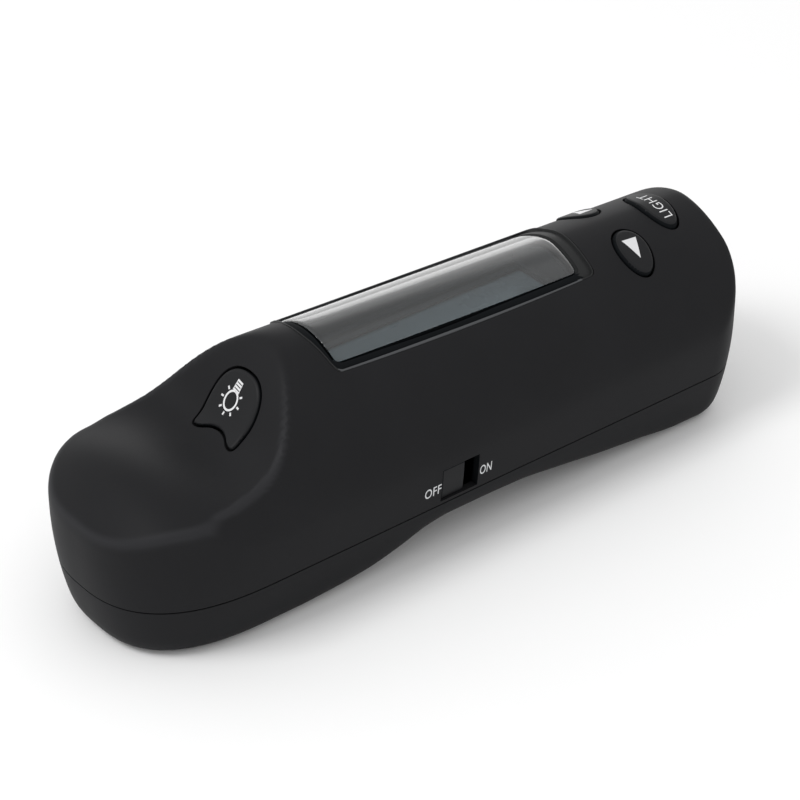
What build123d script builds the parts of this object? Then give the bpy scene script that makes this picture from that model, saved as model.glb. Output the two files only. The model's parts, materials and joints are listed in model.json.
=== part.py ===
from build123d import *
import numpy as np
import os
import math

os.makedirs("parts", exist_ok=True)

# ---------------------------------------------------------------------------
# Driving dimensions, millimetres. X runs along the body with the measuring
# nose at -X and the heel at +X, Z is up, the base lies on z = 0 and the side
# with the power switch faces -Y. Stations "s" count from the nose tip.
# ---------------------------------------------------------------------------
L = 210.0            # overall length
W = 62.7             # overall width
NOSE_R = 41.9        # length of the rounded nose in plan
NOSE_N = 2.54        # superellipse exponent of the nose
HEEL_R = 14.3        # rear corner size in plan
HEEL_N = 2.06        # superellipse exponent of the rear corners
Z_WIDE = 30.2        # height of the widest line
ARCH_P = 1.725       # arch section exponents
ARCH_Q = 1.529
DRAFT_B = 66.4       # how the side walls draw in below the widest line
DRAFT_P = 1.795
Z_PART = 16.6        # parting plane between the shells
H_86 = 65.8          # arch height at s = 86
H_END = 59.2         # arch height at the rear face
SCOOP_S = [0, 12, 24, 36, 48, 60, 72, 84, 104]
SCOOP_Z = [36.4, 45.2, 46.0, 43.5, 47.6, 64.4, 67.2, 69.0, 77.0]
CROWN_S = [0, 20, 48, 72, 104]
CROWN_Z = [6.4, 6.4, -4.6, 0.6, 0.6]
BASE_S = [0, 50, 62, 74, 84, 92, 100, 110, 124, 140, 156, 172, 188, 210]
BASE_Z = [0, 0, 0.6, 2.1, 5.05, 8.0, 9.18, 9.2, 8.85, 6.75, 4.15, 2.1, 0, 0]
BLEND_K = 2.2        # softness of the lip between scoop and arch
SIG_BASE = 4.1       # corner softness, lower edge
SIG_RIM = 1.6        # corner softness, upper rim
FLAT = 0.3           # the skin is drawn this far under z = 0 and planed off there

T_UP = 2.2           # upper shell wall
T_LOW = 2.6          # lower shell wall
SHADOW = 0.2         # half the shadow gap at the parting line


# ---------------------------------------------------------------------------
# Shape functions
# ---------------------------------------------------------------------------
def pchip(xk, yk, x):
    xk, yk = np.asarray(xk, float), np.asarray(yk, float)
    x = np.clip(x, xk[0], xk[-1])
    h, dl = np.diff(xk), np.diff(yk) / np.diff(xk)
    m = np.zeros(len(xk))
    for i in range(1, len(xk) - 1):
        if dl[i - 1] * dl[i] > 0:
            w1, w2 = 2 * h[i] + h[i - 1], h[i] + 2 * h[i - 1]
            m[i] = (w1 + w2) / (w1 / dl[i - 1] + w2 / dl[i])
    m[0], m[-1] = dl[0], dl[-1]
    i = np.clip(np.searchsorted(xk, x, side="right") - 1, 0, len(h) - 1)
    t = (x - xk[i]) / h[i]
    return ((2 * t**3 - 3 * t**2 + 1) * yk[i] + (t**3 - 2 * t**2 + t) * h[i] * m[i]
            + (-2 * t**3 + 3 * t**2) * yk[i + 1] + (t**3 - t**2) * h[i] * m[i + 1])


def natspline(xk, yk, x):
    xk, yk = np.asarray(xk, float), np.asarray(yk, float)
    n, h, dl = len(xk), np.diff(xk), np.diff(yk) / np.diff(xk)
    A, b = np.zeros((n, n)), np.zeros(n)
    A[0, 0], A[0, 1], b[0] = 2, 1, 3 * dl[0]
    A[-1, -1], A[-1, -2], b[-1] = 2, 1, 3 * dl[-1]
    for i in range(1, n - 1):
        A[i, i - 1], A[i, i], A[i, i + 1] = h[i], 2 * (h[i - 1] + h[i]), h[i - 1]
        b[i] = 3 * (h[i] * dl[i - 1] + h[i - 1] * dl[i])
    m = np.linalg.solve(A, b)
    x = np.clip(x, xk[0], xk[-1])
    i = np.clip(np.searchsorted(xk, x, side="right") - 1, 0, n - 2)
    t = (x - xk[i]) / h[i]
    return ((2 * t**3 - 3 * t**2 + 1) * yk[i] + (t**3 - 2 * t**2 + t) * h[i] * m[i]
            + (-2 * t**3 + 3 * t**2) * yk[i + 1] + (t**3 - t**2) * h[i] * m[i + 1])


def arch_height(s):
    return H_86 + (H_END - H_86) / (L - 86) * (np.asarray(s, float) - 86)


def base_height(s):
    return pchip(BASE_S, BASE_Z, s) - FLAT


def top_height(s, y):
    """height of the upper surface over the plan point (s, y)"""
    s, u = np.asarray(s, float), np.clip(np.abs(y) / (W / 2), 0, 1)
    arch = Z_WIDE + (arch_height(s) - Z_WIDE) * np.clip(1 - u**ARCH_P, 0, 1) ** (1 / ARCH_Q)
    scoop = (natspline(SCOOP_S, SCOOP_Z, np.clip(s, 0, 104))
             - natspline(CROWN_S, CROWN_Z, np.clip(s, 0, 104)) * u**2
             + np.clip(s - 84, 0, None) ** 2 * 0.02)
    h = np.clip(0.5 + 0.5 * (scoop - arch) / BLEND_K, 0, 1)
    return scoop * (1 - h) + arch * h - BLEND_K * h * (1 - h)


def inset(z):
    u = np.clip((Z_WIDE - z) / DRAFT_B, 0, 0.98)
    return W / 2 * (1 - (1 - u**DRAFT_P) ** (1 / DRAFT_P))


def plan(nn, nm, nc, ne):
    w2 = W / 2
    th = np.linspace(0, 1, nn) * np.pi / 2
    nx = NOSE_R * (1 - np.cos(th) ** (2 / NOSE_N))
    ny = w2 * np.sin(th) ** (2 / NOSE_N)
    mx = np.linspace(NOSE_R, L - HEEL_R, nm)[1:-1]
    th = np.linspace(np.pi / 2, 0, nc)
    cx = L - HEEL_R + HEEL_R * np.cos(th) ** (2 / HEEL_N)
    cy = w2 - HEEL_R + HEEL_R * np.sin(th) ** (2 / HEEL_N)
    ey = np.linspace(w2 - HEEL_R, 0, ne + 1)[1:]
    return (np.r_[nx, mx, cx, np.full(ne, L)],
            np.r_[ny, np.full(mx.shape, w2), cy, ey])


def sections(nv, nn=24, nm=40, nc=10, ne=4):
    """rows of points over the +Y half of the skin, bottom centre to top centre"""
    X, Y = plan(nn, nm, nc, ne)
    dx, dy = np.gradient(X), np.gradient(Y)
    l = np.hypot(dx, dy) + 1e-12
    NX, NY = -dy / l, dx / l
    NX[0], NY[0], NX[-1], NY[-1] = -1, 0, 1, 0
    S = np.cumsum(np.r_[0, np.hypot(np.diff(X), np.diff(Y))])
    xe = L - HEEL_R
    s_nose, s_heel = np.interp(NOSE_R, X, S), np.interp(xe - 34, X, S)
    q0 = NOSE_R * 0.5
    xq = np.where(X < NOSE_R, q0 + (NOSE_R - q0) * S / s_nose, X)
    f = np.clip((S - s_heel) / (S[-1] - s_heel), 0, 1)
    xq = np.where(S > s_heel, xe - 34 + (L - 9 - xe + 34) * (1.35 * f - 0.35 * f * f), xq)
    out = np.zeros((len(X), nv, 3))
    for i in range(len(X)):
        P, Q = np.array([X[i], Y[i]]), np.array([xq[i], 0.0])
        R = np.hypot(*(P - Q))
        e = (P - Q) / R
        cosn = max(abs(e @ np.array([NX[i], NY[i]])), 0.35)
        rr = np.linspace(0, R, 200)
        px, py = Q[0] + e[0] * rr, np.abs(e[1] * rr)
        h, zb = top_height(px, py), base_height(px)
        zwall = np.linspace(zb[-1], max(h[-1], zb[-1] + 1), 60)
        rw = R - inset(zwall) / cosn
        rb = np.linspace(0, rw[0], 30)
        rt = rw[-1]
        m = rr < rt
        rtop = np.r_[rt, rr[m][::-1]]
        ztop = np.r_[np.interp(rt, rr, h), h[m][::-1]]
        k = zwall <= ztop[0]
        r_ = np.r_[rb[:-1], rw[k], rtop]
        z_ = np.r_[np.interp(rb, rr, zb)[:-1], zwall[k], ztop]
        s = np.r_[0, np.cumsum(np.hypot(np.diff(r_), np.diff(z_)))]
        s_rim = np.interp(len(rb) - 1 + k.sum(), np.arange(len(s)), s)
        n = 320
        su = np.linspace(0, s[-1], n)
        r2, z2 = np.interp(su, s, r_), np.interp(su, s, z_)
        ds = s[-1] / (n - 1)
        re = np.r_[-r2[1:][::-1], r2, -r2[:-1][::-1]]
        ze = np.r_[z2[1:][::-1], z2, z2[:-1][::-1]]

        def soft(v, sig):
            w = int(np.ceil(3.5 * sig / ds))
            g = np.exp(-((np.arange(-w, w + 1) * ds) ** 2) / 2 / sig**2)
            return np.convolve(v, g / g.sum(), "same")[n - 1 : 2 * n - 1]

        def ramp(a, b):
            t = np.clip((su - a) / (b - a), 0, 1)
            return t * t * (3 - 2 * t)

        bl = ramp(rw[0] + 8, rw[0] + 16)
        r3 = soft(re, SIG_BASE) * (1 - bl) + soft(re, SIG_RIM) * bl
        z3 = soft(ze, SIG_BASE) * (1 - bl) + soft(ze, SIG_RIM) * bl
        keep = np.clip(1 - ramp(rw[0] - 16, rw[0] - 10) + ramp(s_rim + 4, s_rim + 9), 0, 1)
        r3, z3 = r3 * (1 - keep) + r2 * keep, z3 * (1 - keep) + z2 * keep
        r3[0] = r3[-1] = 0
        n1, n2 = int(nv * 0.26), int(nv * 0.34)
        s_cor = rw[0]
        sv = np.r_[np.linspace(0, s_cor, n1), np.linspace(s_cor, s_rim, n2 + 1)[1:],
                   np.linspace(s_rim, s[-1], nv - n1 - n2 + 1)[1:]]
        r4, z4 = np.interp(sv, su, r3), np.interp(sv, su, z3)
        out[i, :, 0] = Q[0] + e[0] * r4 - L / 2
        out[i, :, 1] = e[1] * r4
        out[i, :, 2] = z4
    return out


GRID = sections(46)


def normals(P):
    N = np.cross(np.gradient(P, axis=1), np.gradient(P, axis=0))
    for row in (0, -1):
        N[row, 0], N[row, -1] = N[row, 1], N[row, -2]
    N /= np.linalg.norm(N, axis=2, keepdims=True) + 1e-12
    ref = P - np.stack([np.clip(P[..., 0], -75, 85), 0 * P[..., 0], np.full(P.shape[:2], 28.0)], -1)
    N *= np.sign((N * ref).sum(2, keepdims=True))
    for row in (0, -1):
        N[row, :, 1] = 0
        N[:, row, 1] = 0
    return N / np.linalg.norm(N, axis=2, keepdims=True)


NORMALS = normals(GRID)


def skin(depth):
    """closed solid of the body, moved inwards by depth"""
    P = GRID - NORMALS * depth
    P[0, :, 1] = P[-1, :, 1] = 0
    P[:, 0, 1] = P[:, -1, 1] = 0
    P[..., 1] = np.maximum(P[..., 1], 0)
    t = np.cumsum(np.linalg.norm(np.diff(P, axis=1), axis=2), axis=1)
    t = [0.0] + list((t / t[:, -1:]).mean(0))
    wires = [Wire([Edge.make_spline([tuple(map(float, p)) for p in row], parameters=t)]) for row in P]
    half = Shell.make_loft(wires).faces()[0]
    body = Solid(Shell(Face.sew_faces([half, half.mirror(Plane.XZ)])[0]))
    if body.volume < 0:
        body = Solid(Shell(Face.sew_faces([-half, -half.mirror(Plane.XZ)])[0]))
    return body


def top_point(x, y):
    """point and unit normal on the upper surface, row coordinates"""
    e = 0.05
    z = float(top_height(x + L / 2, y))
    zx = float(top_height(x + L / 2 + e, y) - top_height(x + L / 2 - e, y)) / (2 * e)
    zy = float(top_height(x + L / 2, y + e) - top_height(x + L / 2, y - e)) / (2 * e)
    n = np.array([-zx, -zy, 1.0])
    return np.array([x, y, z]), n / np.linalg.norm(n)



FLOOR = Box(400, 200, 200, align=(Align.CENTER, Align.CENTER, Align.MIN))
S0 = skin(0) & FLOOR                  # outer form, planed flat at z = 0
S_TRIM, S_UP, S_LOW = skin(1.1), skin(T_UP), skin(T_LOW)


def save(builder, name):
    builder.part.label = name
    export_step(builder.part, "parts/" + name + ".step")


def frame_at(x, y, depth=0.0):
    """plane on the upper surface: local z outwards, local x along the body"""
    p, n = top_point(x, y)
    p = p - n * depth
    return Plane(origin=tuple(map(float, p)), x_dir=(float(n[2]), 0, float(-n[0])), z_dir=tuple(map(float, n)))


def block(x0, x1, y0, y1, z0, z1, mode=Mode.ADD):
    with Locations(((x0 + x1) / 2, (y0 + y1) / 2, (z0 + z1) / 2)):
        Box(x1 - x0, y1 - y0, z1 - z0, mode=mode)


def post(x, y, r, z0, z1, mode=Mode.ADD):
    with Locations((x, y, z0)):
        Cylinder(r, z1 - z0, align=(Align.CENTER, Align.CENTER, Align.MIN), mode=mode)


# ---------------------------------------------------------------------------
# Window, keys and switch: outlines
# ---------------------------------------------------------------------------
WIN = dict(x0=-35.0, x1=58.4, y=15.0, bow=2.8, bow1=0.6, r=2.0)      # opening in the shell
LENS = dict(x0=-31.2, x1=53.2, y=13.3, bow=0.6, bow1=0.4, r=1.2)     # the clear lens


def window_sketch(d, grow=0.0):
    x0, x1, y, bow = d["x0"] - grow, d["x1"] + grow, d["y"] + grow, d["bow"]
    with BuildSketch() as sk:
        with BuildLine():
            a = ThreePointArc((x0 + bow, -y), (x0, 0), (x0 + bow, y))
            b = Line(a @ 1, (x1 - d["bow1"], y))
            c = ThreePointArc(b @ 1, (x1, 0), (x1 - d["bow1"], -y))
            Line(c @ 1, a @ 0)
        make_face()
        fillet(sk.vertices(), d["r"])
    return sk.sketch


def prism(sketch, plane, lo, hi):
    """solid of a sketch between two heights over a plane"""
    with BuildPart() as p:
        with BuildSketch(plane.offset(lo)):
            add(sketch)
        extrude(amount=hi - lo)
    return p.part


def oval(a, b, taper=0.0, grow=0.0):
    """closed outline, half-axes a along local x and b along local y, one end narrower"""
    th = np.linspace(0, 2 * np.pi, 25)[:-1]
    pts = [((a + grow) * np.cos(t) * (1 + taper * np.sin(t)), (b + grow) * np.sin(t)) for t in th]
    with BuildSketch() as sk:
        with BuildLine():
            Spline([tuple(map(float, p)) for p in pts], periodic=True)
        make_face()
    return sk.sketch


def crescent(grow=0.0):
    """measure key outline: round at the rear, two soft horns towards the nose"""
    pts = [(10.7, 0), (9.8, 4.5), (7.2, 7.4), (3.0, 8.9), (-1.8, 9.1), (-5.8, 8.7),
           (-8.3, 8.1), (-8.3, 7.0), (-6.7, 3.6), (-5.9, 0)]
    pts = pts + [(x, -y) for x, y in pts[-2:0:-1]]
    c = np.array(pts)
    t = np.roll(c, -1, 0) - np.roll(c, 1, 0)
    n = np.stack([-t[:, 1], t[:, 0]], 1) / np.linalg.norm(t, axis=1)[:, None]
    c = c - n * grow
    with BuildSketch() as sk:
        with BuildLine():
            Spline([tuple(map(float, p)) for p in c], periodic=True)
        make_face()
    return sk.sketch


GAP = 0.55           # clearance round each key
KEYS = {
    "measure": dict(plane=Plane(origin=(-55.1, 0, float(top_height(-55.1 + L / 2, 0.0))), x_dir=(0.647, 0, 0.763),
                                z_dir=(-0.763, 0, 0.647)),
                    make=crescent, board=(10, 28), at=[(1, -12.4), (1, 12.4)]),
    "left": dict(plane=frame_at(73.7, -13.2), make=lambda g: oval(5.2, 7.6, 0.10, g), board=(21, 9), at=[(-8.6, 0), (8.6, 0)]),
    "right": dict(plane=frame_at(73.7, 11.6), make=lambda g: oval(5.2, 7.6, -0.10, g), board=(21, 9), at=[(-8.6, 0), (8.6, 0)]),
    "light": dict(plane=frame_at(91.2, -1.0), make=lambda g: oval(4.8, 10.2, 0.0, g), board=(9.5, 30), at=[(0, -13.4), (0, 13.4)],
                  flange=oval(6.0, 8.0)),
}
KEY_BACK, FLANGE, STEM, SW_TOP, SW_H, BOARD_T = -5.0, 0.9, 2.6, -8.0, 3.4, 1.2
S_KEY = skin(-0.95)

SW = dict(x0=-9.9, x1=2.5, z0=17.8, z1=27.8, travel=4.2)

# battery bay
BAY = dict(x0=-9.0, x1=97.0, y=15.1, wall=1.3, roof=28.2)
DOOR = dict(x0=-5.0, x1=96.0, y=14.6, r=3.0)
# screw posts: x, |y|
POSTS = [(-90.0, 14.0), (-24.0, 22.6), (91.0, 21.6)]
PORT_X = -73.0
PAD = (81.0, 19.0)

# ---------------------------------------------------------------------------
# Housing
# ---------------------------------------------------------------------------
HALF_UP = Pos(0, 0, Z_PART + SHADOW) * Box(400, 200, 200, align=(Align.CENTER, Align.CENTER, Align.MIN))
HALF_LOW = Pos(0, 0, Z_PART - SHADOW) * Box(400, 200, 200, align=(Align.CENTER, Align.CENTER, Align.MAX))

with BuildPart() as upper_posts:
    for px, py in POSTS:
        for sy in (-1, 1):
            post(px, sy * py, 3.0, Z_PART, 70)
    for k in KEYS.values():
        with BuildSketch(k["plane"].offset(SW_TOP - SW_H)):
            with Locations(*k["at"]):
                Circle(1.5)
        extrude(amount=13)
    add(S_TRIM, mode=Mode.INTERSECT)
    for k in KEYS.values():
        with BuildSketch(k["plane"].offset(SW_TOP - SW_H - 1)):
            with Locations(*k["at"]):
                Circle(0.75)
        extrude(amount=5, mode=Mode.SUBTRACT)

with BuildPart() as upper_shell:
    add(S0)
    add(HALF_UP, mode=Mode.INTERSECT)
    add(S_UP, mode=Mode.SUBTRACT)
    add(upper_posts.part)
    for px, py in POSTS:
        for sy in (-1, 1):
            post(px, sy * py, 1.4, Z_PART - 1, Z_PART + 11, mode=Mode.SUBTRACT)
    add(prism(window_sketch(WIN), Plane.XY, 40, 80), mode=Mode.SUBTRACT)
    for k in KEYS.values():
        add(prism(k["make"](GAP), k["plane"], -6, 6), mode=Mode.SUBTRACT)
    block(SW["x0"], SW["x1"], -40, -24, SW["z0"], SW["z1"], mode=Mode.SUBTRACT)
save(upper_shell, "upper_shell")

LIP_BAND = Pos(0, 0, Z_PART - 2.6) * Box(400, 200, 4.4, align=(Align.CENTER, Align.CENTER, Align.MIN))

with BuildPart() as lip:
    add(skin(2.35))
    add(LIP_BAND, mode=Mode.INTERSECT)
    add(skin(3.5), mode=Mode.SUBTRACT)
    for px, py in POSTS:
        for sy in (-1, 1):
            post(px, sy * py, 3.3, Z_PART, 40, mode=Mode.SUBTRACT)
    block(SW["x0"] - 4, SW["x1"] + 4, -40, -20, Z_PART - 0.1, 40, mode=Mode.SUBTRACT)

with BuildPart() as lower_posts:
    for px, py in POSTS:
        for sy in (-1, 1):
            post(px, sy * py, 3.6, -1, Z_PART)
    add(S_TRIM, mode=Mode.INTERSECT)

with BuildPart() as lower_shell:
    add(S0)
    add(HALF_LOW, mode=Mode.INTERSECT)
    add(S_LOW, mode=Mode.SUBTRACT)
    add(lip.part)
    add(lower_posts.part)
    for px, py in POSTS:
        for sy in (-1, 1):
            post(px, sy * py, 1.6, -1, Z_PART + 1, mode=Mode.SUBTRACT)
            post(px, sy * py, 2.8, -1, Z_PART - 4.5, mode=Mode.SUBTRACT)
    with BuildSketch(Plane.XY.offset(-5)):
        with Locations(((DOOR["x0"] + DOOR["x1"]) / 2, 0)):
            RectangleRounded(DOOR["x1"] - DOOR["x0"], 2 * DOOR["y"], DOOR["r"])
    extrude(amount=24, mode=Mode.SUBTRACT)
    post(PORT_X, 0, 17.15, -1, 1.25, mode=Mode.SUBTRACT)
    post(PORT_X, 0, 12.15, -1, 8, mode=Mode.SUBTRACT)
    for sy in (-1, 1):
        post(PAD[0], sy * PAD[1], 3.3, -1, 0.9, mode=Mode.SUBTRACT)
save(lower_shell, "lower_shell")

with BuildPart() as heel_pads:
    for sy in (-1, 1):
        post(PAD[0], sy * PAD[1], 3.2, 0, 0.9)
save(heel_pads, "heel_pads")

with BuildPart() as housing_screws:
    for px, py in POSTS:
        for sy in (-1, 1):
            post(px, sy * py, 2.6, Z_PART - 6.4, Z_PART - 4.5)
            post(px, sy * py, 1.3, Z_PART - 4.5, Z_PART + 8)
            with Locations((px, sy * py, Z_PART - 6.4)):
                Box(3.0, 0.7, 1.6, mode=Mode.SUBTRACT)
                Box(0.7, 3.0, 1.6, mode=Mode.SUBTRACT)
save(housing_screws, "housing_screws")

# ---------------------------------------------------------------------------
# Display window
# ---------------------------------------------------------------------------
S_LENS_T, S_LENS_B = skin(0.12), skin(2.0)
S_FLG_T, S_FLG_B = skin(2.32), skin(3.2)

with BuildPart() as window_bezel:
    add(skin(0.15))
    add(prism(window_sketch(WIN, -0.15), Plane.XY, 40, 80), mode=Mode.INTERSECT)
    add(S_FLG_B, mode=Mode.SUBTRACT)
    add(prism(window_sketch(LENS, 0.15), Plane.XY, 40, 80), mode=Mode.SUBTRACT)

with BuildPart() as bezel_flange:
    add(S_FLG_T)
    add(prism(window_sketch(WIN, 1.4), Plane.XY, 40, 80), mode=Mode.INTERSECT)
    add(S_FLG_B, mode=Mode.SUBTRACT)
    add(prism(window_sketch(LENS, -1.2), Plane.XY, 40, 80), mode=Mode.SUBTRACT)

with BuildPart() as window_trim:
    add(window_bezel.part)
    add(bezel_flange.part)
save(window_trim, "window_trim")

with BuildPart() as display_window:
    add(S_LENS_T)
    add(prism(window_sketch(LENS), Plane.XY, 40, 80), mode=Mode.INTERSECT)
    add(S_LENS_B, mode=Mode.SUBTRACT)
save(display_window, "display_window")

# ---------------------------------------------------------------------------
# Keys, plungers, tact switches and their boards
# ---------------------------------------------------------------------------
def tact(pl):
    """switch body with a round hole for the plunger"""
    with BuildPart() as p:
        with BuildSketch(pl.offset(SW_TOP - SW_H)):
            RectangleRounded(6.0, 6.0, 0.5)
        extrude(amount=SW_H)
        with BuildSketch(pl.offset(SW_TOP - 2.0)):
            Circle(1.6)
        extrude(amount=3.0, mode=Mode.SUBTRACT)
    return p.part


for name, k in KEYS.items():
    pl = k["plane"]
    with BuildPart() as key:
        add(S_KEY)
        add(prism(k["make"](0), pl, KEY_BACK, 8), mode=Mode.INTERSECT)
        with BuildSketch(pl.offset(KEY_BACK - FLANGE)):
            add(k["flange"] if "flange" in k else k["make"](1.2))
        extrude(amount=FLANGE)
        with BuildSketch(pl.offset(KEY_BACK - FLANGE - 0.3)):
            Circle(2.4)
        extrude(amount=0.4)
    save(key, name + "_key")
    with BuildPart() as plunger:
        with BuildSketch(pl.offset(SW_TOP - 0.3)):
            Circle(1.5)
        extrude(amount=KEY_BACK - FLANGE - 0.3 - SW_TOP + 0.3)
    save(plunger, name + "_plunger")
    with BuildPart() as board:
        with BuildSketch(pl.offset(SW_TOP - SW_H - BOARD_T)):
            RectangleRounded(k["board"][0], k["board"][1], 1.0)
            with Locations(*k["at"]):
                Circle(0.8, mode=Mode.SUBTRACT)
        extrude(amount=BOARD_T)
    save(board, name + "_key_board")

with BuildPart() as rear_tacts:
    for name in ("left", "right", "light"):
        add(tact(KEYS[name]["plane"]))
save(rear_tacts, "rear_tact_switches")

with BuildPart() as measure_tact:
    add(tact(KEYS["measure"]["plane"]))
save(measure_tact, "measure_tact_switch")

# ---------------------------------------------------------------------------
# Power switch: outer slider, inner knob, switch body and its small board
# ---------------------------------------------------------------------------
zc = (SW["z0"] + SW["z1"]) / 2
S_SLIDE = skin(0.8)
with BuildPart() as power_slider:
    block(SW["x0"] + 0.3, SW["x1"] - SW["travel"] - 0.3, -40, -27.85, SW["z0"] + 0.3, SW["z1"] - 0.3)
    add(S_SLIDE, mode=Mode.INTERSECT)
    block(SW["x0"] - 1.4, SW["x1"] - SW["travel"] + 1.4, -27.85, -27.0, SW["z0"] - 0.1, SW["z1"] + 1.3)
    block(-7.5, -4.5, -27.0, -25.2, zc - 2.2, zc + 2.2)
    block(-6.85, -5.15, -26.8, -25.0, zc - 3, zc + 3, mode=Mode.SUBTRACT)
save(power_slider, "power_slider")

with BuildPart() as switch_knob:
    block(-6.75, -5.25, -26.75, -22.6, zc - 1.4, zc + 1.4)
save(switch_knob, "switch_knob")

with BuildPart() as power_switch:
    block(-12.0, 4.0, -24.4, -20.4, zc - 3.4, zc + 3.4)
    block(-7.2, -0.6, -25.0, -22.2, zc - 1.6, zc + 1.6, mode=Mode.SUBTRACT)
save(power_switch, "power_switch")

with BuildPart() as switch_board:
    block(-14.0, 6.0, -20.4, -19.2, zc - 4.2, 31.0)
save(switch_board, "switch_board")

# ---------------------------------------------------------------------------
# Batteries, tray and door
# ---------------------------------------------------------------------------
S_IN = skin(2.75)
AA_R, AA_L, AA_NUB = 7.1, 49.4, 1.0
zaa = BAY["roof"] - AA_R - 0.35

with BuildPart() as battery_tray:
    w = BAY["wall"]
    block(BAY["x0"] - w, BAY["x1"] + w, -BAY["y"] - w, BAY["y"] + w, 12.2, BAY["roof"] + w)
    add(S_IN, mode=Mode.INTERSECT)
    block(BAY["x0"], BAY["x1"], -BAY["y"], BAY["y"], -5, BAY["roof"], mode=Mode.SUBTRACT)
    for x in (8.0, 36.0, 52.0, 80.0):
        block(x - 0.8, x + 0.8, -0.35, 0.35, zaa, BAY["roof"] + 0.1)
save(battery_tray, "battery_tray")

with BuildPart() as battery_cells:
    for sy, flip in ((1, 1), (-1, -1)):
        for n in (0, 1):
            xc = 44.25 + (n - 0.5) * (AA_L + AA_NUB + 0.05) + (1.8 if flip > 0 else -2.3)
            with BuildSketch(Plane(origin=(xc, sy * 7.5, zaa), x_dir=(0, 1, 0), z_dir=(flip, 0, 0)).offset(-(AA_L + AA_NUB) / 2)):
                Circle(AA_R)
            extrude(amount=AA_L)
            with BuildSketch(Plane(origin=(xc, sy * 7.5, zaa), x_dir=(0, 1, 0), z_dir=(flip, 0, 0)).offset(-(AA_L + AA_NUB) / 2 + AA_L)):
                Circle(2.7)
            extrude(amount=AA_NUB)
save(battery_cells, "battery_cells")

xa = [44.25 + 1.8 - 50.475, 44.25 + 1.8 + 50.475]
xb = [44.25 - 2.3 - 50.475, 44.25 - 2.3 + 50.475]
with BuildPart() as battery_contacts:
    block(BAY["x0"] + 0.05, BAY["x0"] + 0.45, 2.0, 13.0, zaa - 5, zaa + 6.5)
    block(BAY["x0"] + 0.05, BAY["x0"] + 0.45, -13.0, -2.0, zaa - 5, zaa + 6.5)
    block(BAY["x1"] - 0.45, BAY["x1"] - 0.05, 2.0, 13.0, zaa - 5, zaa + 6.5)
    block(BAY["x1"] - 0.45, BAY["x1"] - 0.05, -13.0, -2.0, zaa - 5, zaa + 6.5)
save(battery_contacts, "battery_contacts")


def spring(x0, x1, y):
    n, h = 3.5, x1 - x0
    pts = []
    for t in np.linspace(0, 1, 71):
        a, r = 2 * np.pi * n * t, 4.6 - 1.6 * t
        pts.append((float(x0 + 0.35 + (h - 0.7) * t), float(y + r * np.cos(a)), float(zaa + r * np.sin(a))))
    path = Edge.make_spline([Vector(*p) for p in pts])
    pl = Plane(origin=path @ 0, z_dir=path % 0)
    with BuildPart() as p:
        with BuildSketch(pl):
            Circle(0.32)
        sweep(path=path)
    return p.part


with BuildPart() as battery_springs:
    add(spring(BAY["x0"] + 0.5, xa[0] - 0.1, 7.5))
    add(mirror(spring(-xb[1] - (BAY["x1"] - 0.5) + xb[1], -xb[1] - 0.1, -7.5), about=Plane.YZ, mode=Mode.PRIVATE))
save(battery_springs, "battery_springs")

with BuildPart() as battery_door:
    add(S0)
    with BuildSketch(Plane.XY.offset(-5)):
        with Locations(((DOOR["x0"] + DOOR["x1"]) / 2, 0)):
            RectangleRounded(DOOR["x1"] - DOOR["x0"] - 0.6, 2 * DOOR["y"] - 0.6, DOOR["r"] - 0.3)
    extrude(amount=24, mode=Mode.INTERSECT)
    add(skin(2.4), mode=Mode.SUBTRACT)
with BuildPart() as door_ribs:
    for x in (10.0, 30.0, 60.0, 84.0):
        block(x - 0.8, x + 0.8, -13.0, 13.0, 0.5, zaa - AA_R - 0.3)
    add(S_TRIM, mode=Mode.INTERSECT)
with BuildPart() as door:
    add(battery_door.part)
    add(door_ribs.part)
save(door, "battery_door")

with BuildPart() as key_board_screws:
    for k in KEYS.values():
        with BuildSketch(k["plane"].offset(SW_TOP - SW_H - BOARD_T)):
            with Locations(*k["at"]):
                Circle(0.7)
        extrude(amount=BOARD_T + 3.5)
        with BuildSketch(k["plane"].offset(SW_TOP - SW_H - BOARD_T - 0.9)):
            with Locations(*k["at"]):
                Circle(1.4)
        extrude(amount=0.9)
save(key_board_screws, "key_board_screws")

# ---------------------------------------------------------------------------
# Boards and display module
# ---------------------------------------------------------------------------
ROOF = BAY["roof"] + BAY["wall"]
Z_PCB = 31.0
with BuildPart() as main_board:
    with BuildSketch(Plane.XY.offset(Z_PCB)):
        with Locations((30.5, 0)):
            RectangleRounded(129, 44, 4)
        for px, py in POSTS[1:]:
            with Locations((px, py), (px, -py)):
                Circle(3.6, mode=Mode.SUBTRACT)
    extrude(amount=1.6)
save(main_board, "main_board")

with BuildPart() as board_standoffs:
    for x in (-4.0, 86.0):
        for y in (-11.0, 11.0):
            post(x, y, 2.2, ROOF, Z_PCB)
save(board_standoffs, "board_standoffs")

with BuildPart() as display_standoffs:
    for x in (-24.5, 52.5):
        for y in (-15.2, 15.2):
            post(x, y, 1.8, Z_PCB + 1.6, 43.0)
save(display_standoffs, "display_standoffs")

with BuildPart() as display_board:
    with BuildSketch(Plane.XY.offset(43.0)):
        with Locations((14.0, 0)):
            RectangleRounded(82, 35, 2)
    extrude(amount=1.2)
save(display_board, "display_board")

with BuildPart() as backlight:
    block(-23.0, 53.0, -13.2, 13.2, 44.2, 46.2)
save(backlight, "backlight")

with BuildPart() as display_glass:
    block(-22.0, 52.0, -12.8, 12.8, 46.2, 48.6)
save(display_glass, "display_glass")

with BuildPart() as display_frame:
    block(-24.5, 54.5, -14.8, 14.8, 44.2, 49.6)
    block(-23.2, 53.2, -13.4, 13.4, 44.0, 48.8, mode=Mode.SUBTRACT)
    block(-20.5, 50.5, -10.8, 10.8, 48.0, 50.0, mode=Mode.SUBTRACT)
save(display_frame, "display_frame")

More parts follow.
